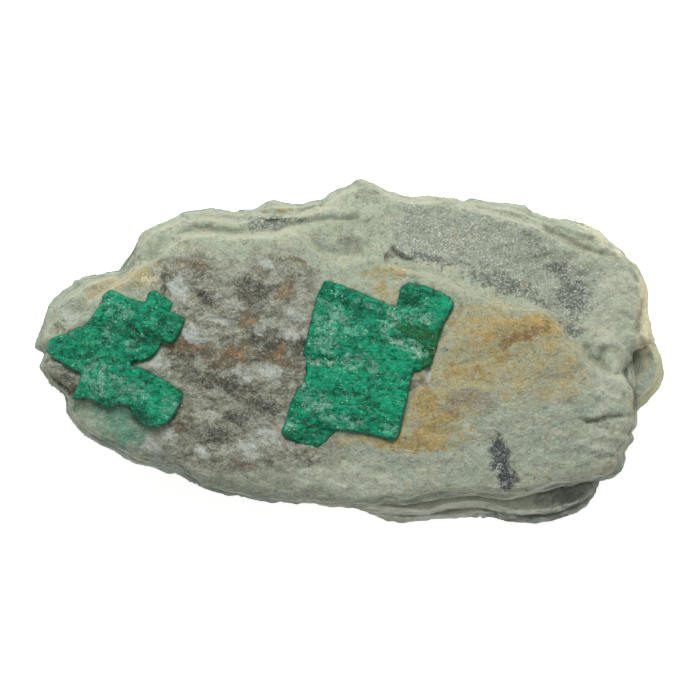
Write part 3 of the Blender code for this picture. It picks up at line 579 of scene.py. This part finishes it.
def relief(thing):
    """The rock's fine form: crevices, split sheets, lumps, pits, grain and the crystals' beds."""
    points = get_points(thing.data)
    normals = get_normals(thing.data)
    x, y, z = points.T.copy()
    points[:, 2] = np.maximum(points[:, 2], 2.0 * FOOT_TRIM)
    z = bend_sheets(x, y, z)
    up = np.clip(normals[:, 2], 0.0, 1.0)
    side = 1.0 - np.abs(normals[:, 2])
    broad = noise_at(points, (9.0, 9.0, 4.0), 0.0, 3)
    lumps = noise_at(points, (2.6, 2.2, 1.4), 3.1, 3)
    grain = noise_at(points, (0.9, 0.8, 0.6), 7.7, 2)
    knobs = noise_at(points, (2.0, 1.6, 1.6), 14.9, 3)
    sheets = noise_at(points, (8.0, 8.0, 0.9), 11.3, 3)
    plates = terraces(2.4 * noise_at(points, (7.0, 4.5, 3.0), 5.9, 3), 6.0)
    rim = np.full(len(x), np.inf)
    for line in (NORTH_WEST, NORTH_EAST, SOUTH_EAST, SOUTH_WEST, WEST_TIP):
        rim = np.minimum(rim, distance_to(x, y, line))
    near_rim = np.exp(-rim / RIM_REACH)
    rough = ellipses(x, y, MOTTLED)
    lumpy = ellipses(x, y, LUMPY)
    z += 0.30 * broad + up * ((0.14 + 0.30 * lumpy) * lumps + 0.04 * grain)
    z += up * (0.08 + 0.20 * near_rim) * plates
    z += up * rough * (0.42 * knobs + 0.12 * grain)
    # The crevices' mask, kept on the mesh as an attribute for the painted shade in the rock's colour.
    crevice_painted_shade = np.zeros(len(x))
    for line, half_width, depth in CREVICES:
        away = distance_to(x, y, line) + 0.12 * lumps
        z -= depth * up * np.exp(-(away / (1.2 * half_width)) ** 2)
        crevice_painted_shade = np.maximum(crevice_painted_shade, min(1.0, 1.6 * depth) * np.exp(-(away / half_width) ** 2))
    marks = thing.data.attributes.new("crevice_painted_shade", "FLOAT", "POINT")
    marks.data.foreach_set("value", crevice_painted_shade)
    bed = np.zeros(len(x), dtype=bool)
    for blocks in CRYSTALS.values():
        for outline, stand, lean, depth in blocks:
            bed |= inside(x, y, offset_outline(outline_mm(outline), -BED_INSET))
    z -= BED_DEPTH * bed * up
    push = side * (0.55 * sheets + 0.16 * lumps + 0.06 * grain)
    x += normals[:, 0] * push
    y += normals[:, 1] * push
    z = np.maximum(z - FOOT_TRIM, 0.0)
    set_points(thing.data, np.column_stack((x, y, z)) * MM)


def make_rock():
    """The host rock, as one closed mesh."""
    rock = link_mesh("schist_rock", build_slabs())
    remesh(rock, ROCK_VOXEL)
    relief(rock)
    thin = rock.modifiers.new("thin_out", "DECIMATE")
    thin.ratio = min(1.0, ROCK_TRIANGLES / (2.0 * len(rock.data.polygons)))
    bake_modifiers(rock)
    rock.data.shade_smooth()
    return rock


def block_mesh(mesh, outline, stand, lean, depth):
    """Adds a crystal block with a flat bevelled upper face that stands above the rock around it."""
    centre = (sum(p[0] for p in outline) / len(outline), sum(p[1] for p in outline) / len(outline))
    top = FACE_TOP - FOOT_TRIM - crown(*centre) + stand
    slope = (crown(centre[0] - 0.5, centre[1]) - crown(centre[0] + 0.5, centre[1]) + lean[0],
             crown(centre[0], centre[1] - 0.5) - crown(centre[0], centre[1] + 0.5) + lean[1])
    rings = []
    for offset, height in ((-BLOCK_DRAFT, top - depth), (0.0, top - CHAMFER), (-CHAMFER, top)):
        tilt = (0.0, 0.0) if height == top - depth else slope
        rings.append([mesh.verts.new((x, y, height + tilt[0] * (x - centre[0])
                                      + tilt[1] * (y - centre[1])))
                      for x, y in offset_outline(outline, offset)])
    close_rings(mesh, rings)


def make_crystal(name, blocks, seed):
    """One crystal piece: its blocks fused, with striated, pitted and broken upper faces."""
    mesh = bmesh.new()
    for outline, stand, lean, depth in blocks:
        block_mesh(mesh, outline_mm(outline), stand, lean, depth)
    crystal = link_mesh(name + "_crystal", mesh)
    remesh(crystal, CRYSTAL_VOXEL)
    keep_largest(crystal)
    points = get_points(crystal.data)
    normals = get_normals(crystal.data)
    turn = math.radians(-18.0)
    along = points[:, 0] * math.cos(turn) + points[:, 1] * math.sin(turn)
    across = -points[:, 0] * math.sin(turn) + points[:, 1] * math.cos(turn)
    turned = np.column_stack((along, across, points[:, 2]))
    striae = noise_at(turned, (3.0, 0.5, 2.0), seed, 2)
    breaks = terraces(2.2 * noise_at(turned, (2.8, 1.8, 2.0), seed + 4.0, 3), 5.0)
    pits = noise_at(turned, (0.6, 0.5, 0.5), seed + 8.0, 2)
    on_top = np.clip((normals[:, 2] - 0.6) / 0.3, 0.25, 1.0)
    push = on_top * (0.06 * striae + 0.09 * breaks + 0.08 * pits)
    set_points(crystal.data, (points + normals * push[:, None]) * MM)
    crystal.data.shade_smooth()
    return crystal


def linear(colour):
    """An sRGB colour, each part from 0 to 255, as the linear colour that a shader takes."""
    parts = [part / 255.0 for part in colour]
    return tuple(p / 12.92 if p <= 0.04045 else ((p + 0.055) / 1.055) ** 2.4 for p in parts) + (1.0,)


class Finish:
    """A procedural material under construction. Its coordinates are the object's own, in mm."""

    def __init__(self, name):
        self.material = bpy.data.materials.new(name)
        self.material.use_nodes = True
        self.tree = self.material.node_tree
        self.shader = self.tree.nodes["Principled BSDF"]
        self.output = self.tree.nodes["Material Output"]
        coordinate = self.tree.nodes.new("ShaderNodeTexCoord").outputs["Object"]
        self.place = self.mapped(coordinate, (0.0, 0.0, 0.0), (1 / MM, 1 / MM, 1 / MM))

    def node(self, kind, *sources, output=0, **settings):
        """A new node with the given settings, its inputs fed in order by values or by other nodes."""
        made = self.tree.nodes.new(kind)
        for key, value in settings.items():
            setattr(made, key, value)
        for socket, source in zip(made.inputs, sources):
            self.feed(socket, source)
        return made.outputs[output]

    def feed(self, socket, source):
        """Links the source to the socket, or sets the socket if the source is a plain value."""
        if isinstance(source, bpy.types.NodeSocket):
            self.tree.links.new(source, socket)
        elif source is not None:
            socket.default_value = source

    def math(self, operation, *sources, clamp=False):
        return self.node("ShaderNodeMath", *sources, operation=operation, use_clamp=clamp)

    def mapped(self, vector, location, scale):
        """The vector scaled along each axis, then moved."""
        made = self.tree.nodes.new("ShaderNodeMapping")
        self.feed(made.inputs["Vector"], vector)
        made.inputs["Location"].default_value = location
        made.inputs["Scale"].default_value = scale
        return made.outputs["Vector"]

    def scaled(self, vector, scale):
        return self.node("ShaderNodeVectorMath", vector, scale, operation="MULTIPLY")

    def noise(self, size, seed, detail=2.0, roughness=0.55, distortion=0.0):
        """Smooth noise from 0 to 1. size is in mm, one number or one for each axis."""
        sizes = size if isinstance(size, tuple) else (size, size, size)
        moved = self.mapped(self.place, (seed, seed * 1.7, -seed), tuple(1.0 / part for part in sizes))
        made = self.tree.nodes.new("ShaderNodeTexNoise")
        self.feed(made.inputs["Vector"], moved)
        made.inputs["Scale"].default_value = 1.0
        made.inputs["Detail"].default_value = detail
        made.inputs["Roughness"].default_value = roughness
        made.inputs["Distortion"].default_value = distortion
        return made.outputs["Fac"]

    def span(self, value, low, high, to_low=0.0, to_high=1.0):
        """The value's stretch from low to high spread smoothly over 0 to 1, or over another span."""
        made = self.tree.nodes.new("ShaderNodeMapRange")
        made.interpolation_type = "SMOOTHSTEP"
        for name, source in (("Value", value), ("From Min", low), ("From Max", high),
                             ("To Min", to_low), ("To Max", to_high)):
            self.feed(made.inputs[name], source)
        return made.outputs["Result"]

    def mix(self, share, first, second):
        """Two colours mixed by share."""
        made = self.tree.nodes.new("ShaderNodeMix")
        made.data_type = "RGBA"
        self.feed(made.inputs["Factor"], share)
        self.feed(made.inputs["A"], first)
        self.feed(made.inputs["B"], second)
        for socket in made.inputs:
            if socket.type == "RGBA" and socket.name in "AB":
                self.feed(socket, first if socket.name == "A" else second)
        return [socket for socket in made.outputs if socket.type == "RGBA"][0]

    def spot(self, vector, pixel, radii, angle=0.0, soft=0.7):
        """A soft ellipse around a pixel of the photo: 1 inside and 0 outside."""
        x, y = to_mm(pixel)
        turn = math.radians(-angle)
        long, wide = radii[0] * MM_PER_PIXEL, radii[1] * MM_PER_PIXEL
        away = self.node("ShaderNodeVectorMath", vector, (x, y, 0.0), operation="SUBTRACT")
        along = self.node("ShaderNodeVectorMath", away,
                          (math.cos(turn) / long, math.sin(turn) / long, 0.0),
                          operation="DOT_PRODUCT", output="Value")
        across = self.node("ShaderNodeVectorMath", away,
                           (-math.sin(turn) / wide, math.cos(turn) / wide, 0.0),
                           operation="DOT_PRODUCT", output="Value")
        square = self.math("MULTIPLY_ADD", along, along, self.math("MULTIPLY", across, across))
        return self.span(square, (1.0 + soft) ** 2, (1.0 - soft) ** 2)

    def spots(self, vector, places):
        """The union of several soft ellipses."""
        whole = None
        for place in places:
            one = self.spot(vector, *place)
            whole = one if whole is None else self.math("MAXIMUM", whole, one)
        return whole


def broken(finish, mask, size, seed, amount):
    """The mask with ragged, patchy edges: noise of the given size in mm eats into it."""
    patch = finish.math("SUBTRACT", finish.noise(size, seed, 6.0, 0.72), 0.5)
    ragged = finish.math("MULTIPLY_ADD", patch, 3.0 * amount, mask)
    return finish.span(ragged, 0.15, 1.15)


def schist_finish():
    """Pale talc schist: grey-green, stained tan and rust, mottled by quartz, glinting with mica, with
    painted glints, painted light on its rims and sides, and painted shade in its crevices, recesses and
    under its ledges.
    """
    f = Finish("schist")
    flat = f.scaled(f.place, (1.0, 1.0, 0.0))
    wander = f.node("ShaderNodeCombineXYZ", f.noise(2.2, 4.0, 5.0, 0.65), f.noise(2.2, 9.0, 5.0, 0.65),
                    0.5)
    shift = f.scaled(f.node("ShaderNodeVectorMath", wander, (0.5, 0.5, 0.5), operation="SUBTRACT"),
                     (4.5, 4.5, 0.0))
    plan = f.node("ShaderNodeVectorMath", flat, shift, operation="ADD")
    height = f.node("ShaderNodeSeparateXYZ", f.place, output="Z")
    upper = f.span(height, 15.0, 18.0)

    across = f.node("ShaderNodeSeparateXYZ", f.place, output="Y")
    colour = f.mix(f.span(across, -19.0, 14.0), linear((152, 164, 146)), linear((160, 172, 150)))
    tone = f.noise((8.0, 5.0, 2.2), 1.0, 5.0, 0.6)
    colour = f.mix(f.span(tone, 0.42, 0.28, 0.0, 0.6), colour, linear((132, 145, 132)))
    colour = f.mix(f.span(tone, 0.52, 0.68, 0.0, 0.6), colour, linear((180, 179, 152)))
    cool = f.noise((2.0, 1.4, 0.9), 15.0, 6.0, 0.68)
    colour = f.mix(f.span(cool, 0.52, 0.64, 0.0, 0.45), colour, linear((130, 143, 134)))
    colour = f.mix(f.span(cool, 0.46, 0.34, 0.0, 0.4), colour, linear((186, 188, 166)))
    sheets = f.noise((9.0, 9.0, 0.5), 21.0, 5.0, 0.65)
    low = f.math("SUBTRACT", 1.0, upper)
    colour = f.mix(f.math("MULTIPLY", f.span(sheets, 0.46, 0.62), f.math("MULTIPLY", low, 0.55)), colour,
                   linear((112, 119, 107)))

    def stain(colour, places, tint, strength, size, seed, amount=0.9, zone=upper):
        mask = f.math("MULTIPLY", broken(f, f.spots(plan, places), size, seed, amount), zone)
        return f.mix(f.math("MULTIPLY", mask, strength), colour, linear(tint)), mask

    # Painted light on the shadowed lower ledge.
    colour, ledge_painted_light = stain(colour, LEDGE_PAINTED_LIGHT, (206, 208, 190), 0.75, 1.4, 23.0, 0.8, low)
    # Painted shade at the feet of ledges.
    colour, ledge_foot_painted_shade = stain(colour, LEDGE_FOOT_PAINTED_SHADE, (106, 112, 104), 0.8, 1.2, 25.0, 0.9, low)

    # Greyer tone at the lower left, and painted shade in the scoop.
    colour, darkened = stain(colour, DULL_TONE_AND_PAINTED_SHADE, (122, 132, 116), 0.6, 1.6, 27.0)
    tan_strength = f.span(cool, 0.34, 0.62, 1.0, 0.5)
    colour, tan = stain(colour, TAN, (165, 149, 97), tan_strength, 1.2, 30.0, 1.3)
    colour, ochre = stain(colour, OCHRE, (154, 131, 62), 0.8, 0.8, 33.0, 1.4)
    colour, haze = stain(colour, GREEN_HAZE, (46, 134, 106), 0.8, 1.3, 36.0)
    colour, mottled = stain(colour, MOTTLED, (136, 140, 123), 1.0, 2.2, 40.0, 0.7)
    browns = f.noise((2.6, 1.6, 1.6), 47.0, 6.0, 0.7)
    colour = f.mix(f.math("MULTIPLY", mottled, f.span(browns, 0.48, 0.64, 0.0, 0.65)), colour,
                   linear((121, 113, 84)))
    blotches = f.noise((4.2, 2.6, 2.6), 49.0, 2.0, 0.5)
    colour = f.mix(f.math("MULTIPLY", mottled, f.span(blotches, 0.5, 0.62, 0.0, 0.6)), colour,
                   linear((154, 160, 148)))
    colour = f.mix(f.math("MULTIPLY", mottled, f.span(blotches, 0.5, 0.38, 0.0, 0.7)), colour,
                   linear((86, 87, 74)))
    patches = f.noise((1.7, 1.1, 1.1), 43.0, 5.0, 0.62, distortion=0.8)
    colour = f.mix(f.math("MULTIPLY", mottled, f.span(patches, 0.5, 0.6, 0.0, 0.5)), colour,
                   linear((168, 174, 162)))
    colour = f.mix(f.math("MULTIPLY", mottled, f.span(patches, 0.5, 0.4, 0.0, 0.6)), colour,
                   linear((74, 72, 58)))
    colour, smoke = stain(colour, SMOKE, (50, 50, 41), 0.95, 0.9, 50.0, 0.7)
    wisps = f.noise((0.8, 0.45, 0.6), 88.0, 3.0, 0.6, distortion=1.6)
    colour = f.mix(f.math("MULTIPLY", mottled, f.span(wisps, 0.52, 0.6, 0.0, 0.4)), colour,
                   linear((168, 171, 156)))
    colour = f.mix(f.math("MULTIPLY", mottled, f.span(wisps, 0.48, 0.4, 0.0, 0.45)), colour,
                   linear((72, 70, 56)))
    colour, rust = stain(colour, RUST, (93, 78, 50), 0.75, 0.7, 53.0, 1.3)
    colour, orange = stain(colour, ORANGE, (150, 106, 48), 0.65, 0.5, 54.0, 1.5)
    colour, gold = stain(colour, GOLD, (178, 150, 84), 0.7, 0.8, 58.0, 1.0)
    colour, umber = stain(colour, UMBER, (114, 86, 40), 0.8, 0.7, 59.0, 1.2)
    colour, taupe = stain(colour, TAUPE, (120, 112, 92), 0.6, 1.0, 56.0)
    colour, quartz = stain(colour, QUARTZ, (176, 183, 174), 0.85, 0.8, 60.0, 0.7)
    colour, pale = stain(colour, WHITE_VEIN, (190, 194, 174), 0.5, 1.0, 63.0)
    colour, mica = stain(colour, MICA_FIELD, (139, 146, 134), 0.66, 1.4, 66.0, 1.3)
    # Dark mica, partly painted shade in recesses.
    colour, dark_mica_and_painted_shade = stain(colour, MICA_DARK_AND_PAINTED_SHADE, (72, 80, 74), 0.75, 0.6, 70.0, 1.7)
    colour, blue_mica = stain(colour, MICA_BLUE, (42, 50, 54), 0.9, 0.6, 73.0, 0.9)
    colour, green = stain(colour, GREEN_GAPS, (96, 140, 114), 0.9, 0.7, 75.0, 0.5)
    # Painted highlight on the rims.
    colour, rim_painted_highlight = stain(colour, RIM_PAINTED_HIGHLIGHT, (232, 222, 184), 0.5, 0.9, 77.0, 0.6, 1.0)

    veining = f.noise((2.4, 1.4, 1.1), 90.0, 5.0, 0.62, distortion=1.2)
    line = f.math("ABSOLUTE", f.math("SUBTRACT", veining, 0.5))
    thin = f.span(line, 0.016, 0.0)
    strength = f.math("MULTIPLY_ADD", mottled, 0.5, 0.15)
    colour = f.mix(f.math("MULTIPLY", thin, strength), colour, linear((72, 72, 60)))

    flakes = f.tree.nodes.new("ShaderNodeTexVoronoi")
    f.feed(flakes.inputs["Vector"], f.mapped(f.place, (0.0, 0.0, 0.0), (6.2, 6.2, 7.0)))
    flakes.inputs["Scale"].default_value = 1.0
    flake = f.node("ShaderNodeSeparateColor", flakes.outputs["Color"], output="Red")
    flake_two = f.node("ShaderNodeSeparateColor", flakes.outputs["Color"], output="Green")
    field = f.math("MAXIMUM", f.math("MAXIMUM", mica, dark_mica_and_painted_shade), 0.3)
    # Painted glints: pale flecks on the mica flakes.
    painted_mica_glint = f.math("MULTIPLY", field, f.span(flake, 0.76, 0.96))
    colour = f.mix(f.math("MULTIPLY", painted_mica_glint, 0.5), colour, linear((214, 219, 208)))
    darkened = f.math("MULTIPLY", field, f.span(flake, 0.34, 0.0))
    colour = f.mix(f.math("MULTIPLY", darkened, 0.5), colour, linear((78, 86, 82)))

    grit = f.noise(0.4, 80.0, 4.0, 0.8)
    grain = f.math("MULTIPLY_ADD", mottled, 0.1, 0.13)
    colour = f.mix(f.math("MULTIPLY", f.span(grit, 0.5, 0.68), grain), colour, linear((218, 221, 203)))
    colour = f.mix(f.math("MULTIPLY", f.span(grit, 0.5, 0.32), grain), colour, linear((82, 87, 74)))
    facing = f.node("ShaderNodeSeparateXYZ", f.tree.nodes.new("ShaderNodeNewGeometry").outputs["Normal"],
                    output="Z")
    along = f.node("ShaderNodeSeparateXYZ", f.place, output="X")
    clean = f.math("MAXIMUM", f.span(across, -12.0, -4.0), f.span(along, 18.0, 28.0))
    # Painted light: the sloping upper sides are paler, except at the lower left.
    edge = f.math("MULTIPLY", f.math("MULTIPLY", f.span(facing, 0.9, 0.3), upper), clean)
    colour = f.mix(f.math("MULTIPLY", edge, 0.3), colour, linear((196, 190, 160)))
    # Painted light: the sides at the right end are paler.
    east_painted_light = f.math("MULTIPLY", f.span(along, 34.5, 37.5), f.span(facing, 0.98, 0.8))
    colour = f.mix(f.math("MULTIPLY", east_painted_light, 0.4), colour, linear((230, 216, 168)))
    # Painted shade in the crevices and at the feet of ledges.
    crevice_painted_shade = f.tree.nodes.new("ShaderNodeAttribute")
    crevice_painted_shade.attribute_name = "crevice_painted_shade"
    colour = f.mix(f.math("MULTIPLY", crevice_painted_shade.outputs["Fac"], 0.7), colour, linear((86, 90, 78)))
    f.feed(f.shader.inputs["Base Color"], colour)

    shine = f.math("MULTIPLY", field, f.span(flake_two, 0.6, 0.9))
    rough = f.math("SUBTRACT", f.span(grit, 0.2, 0.8, 0.7, 0.85), f.math("MULTIPLY", shine, 0.4))
    f.feed(f.shader.inputs["Roughness"], rough)
    f.shader.inputs["Specular IOR Level"].default_value = 0.35
    fine = f.math("MULTIPLY_ADD", grit, 0.6, f.math("MULTIPLY", flake_two, 0.2))
    coarse = f.math("MULTIPLY_ADD", f.noise((2.2, 1.5, 0.7), 84.0, 5.0, 0.56), 1.4,
                    f.math("MULTIPLY", patches, 1.2))
    bump = f.tree.nodes.new("ShaderNodeBump")
    bump.inputs["Distance"].default_value = 0.2 * MM
    bump.inputs["Strength"].default_value = 1.0
    f.feed(bump.inputs["Height"], f.math("ADD", fine, coarse))
    f.feed(f.shader.inputs["Normal"], bump.outputs["Normal"])
    return f.material


MILKY = [((104, 385), (28, 12), 12), ((118, 311), (13, 7), 20), ((133, 346), (8, 4), 20),
         ((95, 368), (14, 6), 10), ((135, 388), (16, 8), 15), ((108, 336), (6, 6), 0),
         ((170, 404), (7, 11), 0), ((330, 322), (14, 15), 20), ((322, 345), (12, 6), 10),
         ((350, 330), (14, 5), 15), ((365, 304), (12, 4), 20), ((360, 360), (12, 6), 20),
         ((318, 404), (12, 9), 30), ((300, 388), (7, 7), 0), ((292, 424), (5, 6), 0),
         ((390, 322), (8, 16), 12), ((414, 316), (18, 6), 15), ((406, 344), (18, 5), 25),
         ((372, 366), (8, 8), 0), ((340, 420), (20, 5), 10), ((392, 431), (8, 6), 20)]
BRIGHT = [((370, 348), (9, 5), 0), ((396, 358), (18, 11), 10), ((165, 400), (18, 13), 20),
          ((335, 376), (28, 8), 0), ((392, 400), (16, 16), 0), ((344, 405), (12, 8), 0),
          ((125, 294), (14, 5), 20), ((105, 312), (8, 8), 0), ((440, 304), (12, 10), 0)]
OLIVE = [((420, 334), (24, 7), 24), ((436, 344), (8, 15), 15), ((429, 361), (6, 9), 15)]
DEEP = [((418, 297), (20, 11), 10), ((305, 434), (15, 8), 0), ((430, 346), (7, 18), 15),
        ((128, 328), (30, 8), 20), ((142, 415), (15, 6), 30),
        ((365, 412), (36, 10), 5), ((168, 328), (12, 9), 0), ((118, 402), (22, 3), 15),
        ((345, 303), (22, 4), 18), ((100, 352), (14, 8), 0), ((120, 322), (10, 5), 20),
        ((415, 333), (20, 4), 20), ((336, 395), (5, 12), 0)]
VEIN = [((320, 361), (20, 3.5), 8), ((345, 366), (10, 3), 15), ((389, 318), (5, 9), 15),
        ((396, 340), (9, 4), 25), ((416, 352), (6, 7), 0)]


def emerald_finish():
    """Included emerald: see-through green, clouded by milky veils, with frosted, striated faces and
    painted glints.
    """
    f = Finish("emerald")
    flat = f.scaled(f.place, (1.0, 1.0, 0.0))
    wander = f.node("ShaderNodeCombineXYZ", f.noise(1.2, 104.0, 5.0, 0.65),
                    f.noise(1.2, 109.0, 5.0, 0.65), 0.5)
    shift = f.scaled(f.node("ShaderNodeVectorMath", wander, (0.5, 0.5, 0.5), operation="SUBTRACT"),
                     (2.4, 2.4, 0.0))
    plan = f.node("ShaderNodeVectorMath", flat, shift, operation="ADD")
    tone = f.noise((1.4, 1.0, 1.0), 101.0, 6.0, 0.66)
    colour = f.mix(f.span(tone, 0.4, 0.6), linear((0, 110, 76)), linear((0, 152, 108)))
    for places, tint, strength, size, seed in (
            (DEEP, (0, 74, 46), 0.85, 0.8, 110.0), (BRIGHT, (0, 176, 124), 0.8, 0.7, 113.0)):
        mask = broken(f, f.spots(plan, places), size, seed, 1.2)
        colour = f.mix(f.math("MULTIPLY", mask, strength), colour, linear(tint))
    veils = f.noise((1.1, 0.7, 0.8), 120.0, 6.0, 0.72, distortion=0.6)
    colour = f.mix(f.span(veils, 0.52, 0.62, 0.0, 0.6), colour, linear((0, 180, 130)))
    colour = f.mix(f.span(veils, 0.5, 0.4, 0.0, 0.75), colour, linear((0, 62, 38)))
    clouds = f.span(f.noise(0.9, 148.0, 5.0, 0.7), 0.44, 0.6, 0.0, 0.85)
    milky = broken(f, f.spots(plan, MILKY), 1.0, 116.0, 1.8)
    colour = f.mix(f.math("MULTIPLY", milky, clouds), colour, linear((122, 180, 156)))
    vein = broken(f, f.spots(plan, VEIN), 0.6, 152.0, 0.9)
    colour = f.mix(f.math("MULTIPLY", vein, clouds), colour, linear((196, 212, 194)))
    grit = f.noise(0.46, 124.0, 4.0, 0.75)
    colour = f.mix(f.span(grit, 0.54, 0.64, 0.0, 0.55), colour, linear((0, 206, 152)))
    colour = f.mix(f.span(grit, 0.46, 0.36, 0.0, 0.5), colour, linear((0, 54, 32)))
    bunches = f.span(f.noise(2.6, 140.0, 2.0), 0.44, 0.58)
    # Painted glints: pale seams along the chips' edges, paler over the milky parts, in bunches.
    pale = f.mix(milky, linear((10, 200, 150)), linear((150, 220, 192)))
    drawn = f.math("MULTIPLY_ADD", bunches, 0.32, f.math("MULTIPLY_ADD", milky, 0.25, 0.06))
    for size, seed, width in (((1.2, 0.9, 0.9), 134.0, 0.05), ((0.7, 0.5, 0.6), 137.0, 0.07)):
        chips = f.noise(size, seed, 2.0, 0.5, distortion=1.0)
        painted_glint_seam = f.span(f.math("ABSOLUTE", f.math("SUBTRACT", chips, 0.56)), width, 0.0)
        colour = f.mix(f.math("MULTIPLY", painted_glint_seam, drawn), colour, pale)
    olive = broken(f, f.spots(plan, OLIVE), 0.7, 119.0, 1.0)
    colour = f.mix(f.math("MULTIPLY", olive, 0.66), colour, linear((34, 86, 12)))
    # Painted glints: small pale specks, in bunches.
    painted_speck_glints = f.math("MULTIPLY", f.span(f.noise(0.26, 144.0, 1.0), 0.66, 0.74), bunches)
    colour = f.mix(painted_speck_glints, colour, linear((222, 226, 192)))
    facing = f.node("ShaderNodeSeparateXYZ", f.tree.nodes.new("ShaderNodeNewGeometry").outputs["Normal"],
                    output="Z")
    colour = f.mix(f.span(facing, 0.9, 0.5, 0.0, 0.5), colour, linear((0, 104, 72)))
    f.feed(f.shader.inputs["Base Color"], colour)
    f.feed(f.shader.inputs["Roughness"], f.span(grit, 0.3, 0.7, 0.25, 0.5))
    f.shader.inputs["IOR"].default_value = 1.58
    f.shader.inputs["Specular IOR Level"].default_value = 0.04
    f.shader.inputs["Transmission Weight"].default_value = 0.3
    depth = f.tree.nodes.new("ShaderNodeVolumeAbsorption")
    depth.inputs["Color"].default_value = (0.02, 0.86, 0.6, 1.0)
    depth.inputs["Density"].default_value = 1500.0
    f.tree.links.new(depth.outputs["Volume"], f.output.inputs["Volume"])
    bump = f.tree.nodes.new("ShaderNodeBump")
    bump.inputs["Distance"].default_value = 0.16 * MM
    bump.inputs["Strength"].default_value = 1.0
    striae = f.noise((2.4, 0.22, 1.0), 128.0, 3.0, 0.6)
    f.feed(bump.inputs["Height"], f.math("MULTIPLY_ADD", grit, 0.8,
                                         f.math("MULTIPLY_ADD", veils, 1.4, striae)))
    f.feed(f.shader.inputs["Normal"], bump.outputs["Normal"])
    return f.material


def floor_finish():
    """Matte white paper, with the faintest tooth."""
    f = Finish("floor_white")
    shade = f.noise(30.0, 200.0, 2.0)
    f.feed(f.shader.inputs["Base Color"], f.mix(shade, (0.93, 0.93, 0.93, 1.0), (0.95, 0.95, 0.95, 1.0)))
    f.shader.inputs["Roughness"].default_value = 0.95
    f.shader.inputs["Specular IOR Level"].default_value = 0.1
    f.shader.inputs["Emission Color"].default_value = (1.0, 1.0, 1.0, 1.0)
    f.shader.inputs["Emission Strength"].default_value = 0.7
    return f.material


def make_stage():
    """A plain white floor, soft overhead light and a camera that looks straight down."""
    mesh = bmesh.new()
    bmesh.ops.create_grid(mesh, x_segments=1, y_segments=1, size=3.0)
    floor = link_mesh("floor", mesh)
    floor.data.materials.append(floor_finish())
    world = bpy.data.worlds.new("studio")
    world.use_nodes = True
    world.node_tree.nodes["Background"].inputs["Color"].default_value = (1.0, 1.0, 1.0, 1.0)
    world.node_tree.nodes["Background"].inputs["Strength"].default_value = 0.31
    bpy.context.scene.world = world
    for name, place, size, power in (("key_softbox", (0.0, 0.40, 0.56), 0.30, 4.7),
                                     ("top_softbox", (0.0, 0.0, 0.9), 0.9, 0.8)):
        light = bpy.data.lights.new(name, "AREA")
        light.shape = "SQUARE"
        light.size = size
        light.energy = power
        lamp = bpy.data.objects.new(name, light)
        lamp.location = place
        lamp.rotation_euler = (-Vector(place)).to_track_quat("-Z", "Y").to_euler()
        bpy.context.collection.objects.link(lamp)
    camera = bpy.data.cameras.new("camera")
    camera.sensor_width = 36.0
    distance = 2.0
    face_height = 0.018
    camera.lens = 36.0 * distance / (PHOTO_WIDTH * MM_PER_PIXEL * MM)
    camera.clip_start = 0.1
    camera.clip_end = 20.0
    view = bpy.data.objects.new("camera", camera)
    middle = to_mm(PHOTO_MIDDLE)
    view.location = (middle[0] * MM, middle[1] * MM, face_height + distance)
    bpy.context.collection.objects.link(view)
    bpy.context.scene.camera = view
    bpy.context.scene.view_settings.view_transform = "Standard"


make_stage()
rock = make_rock()
rock.data.materials.append(schist_finish())
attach(rock, "root")
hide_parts("schist_matrix")
emerald = emerald_finish()
for number, (node, blocks) in enumerate(CRYSTALS.items()):
    crystal = make_crystal(node, blocks, 10.0 * number)
    crystal.data.materials.append(emerald)
    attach(crystal, "root")
    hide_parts(node)
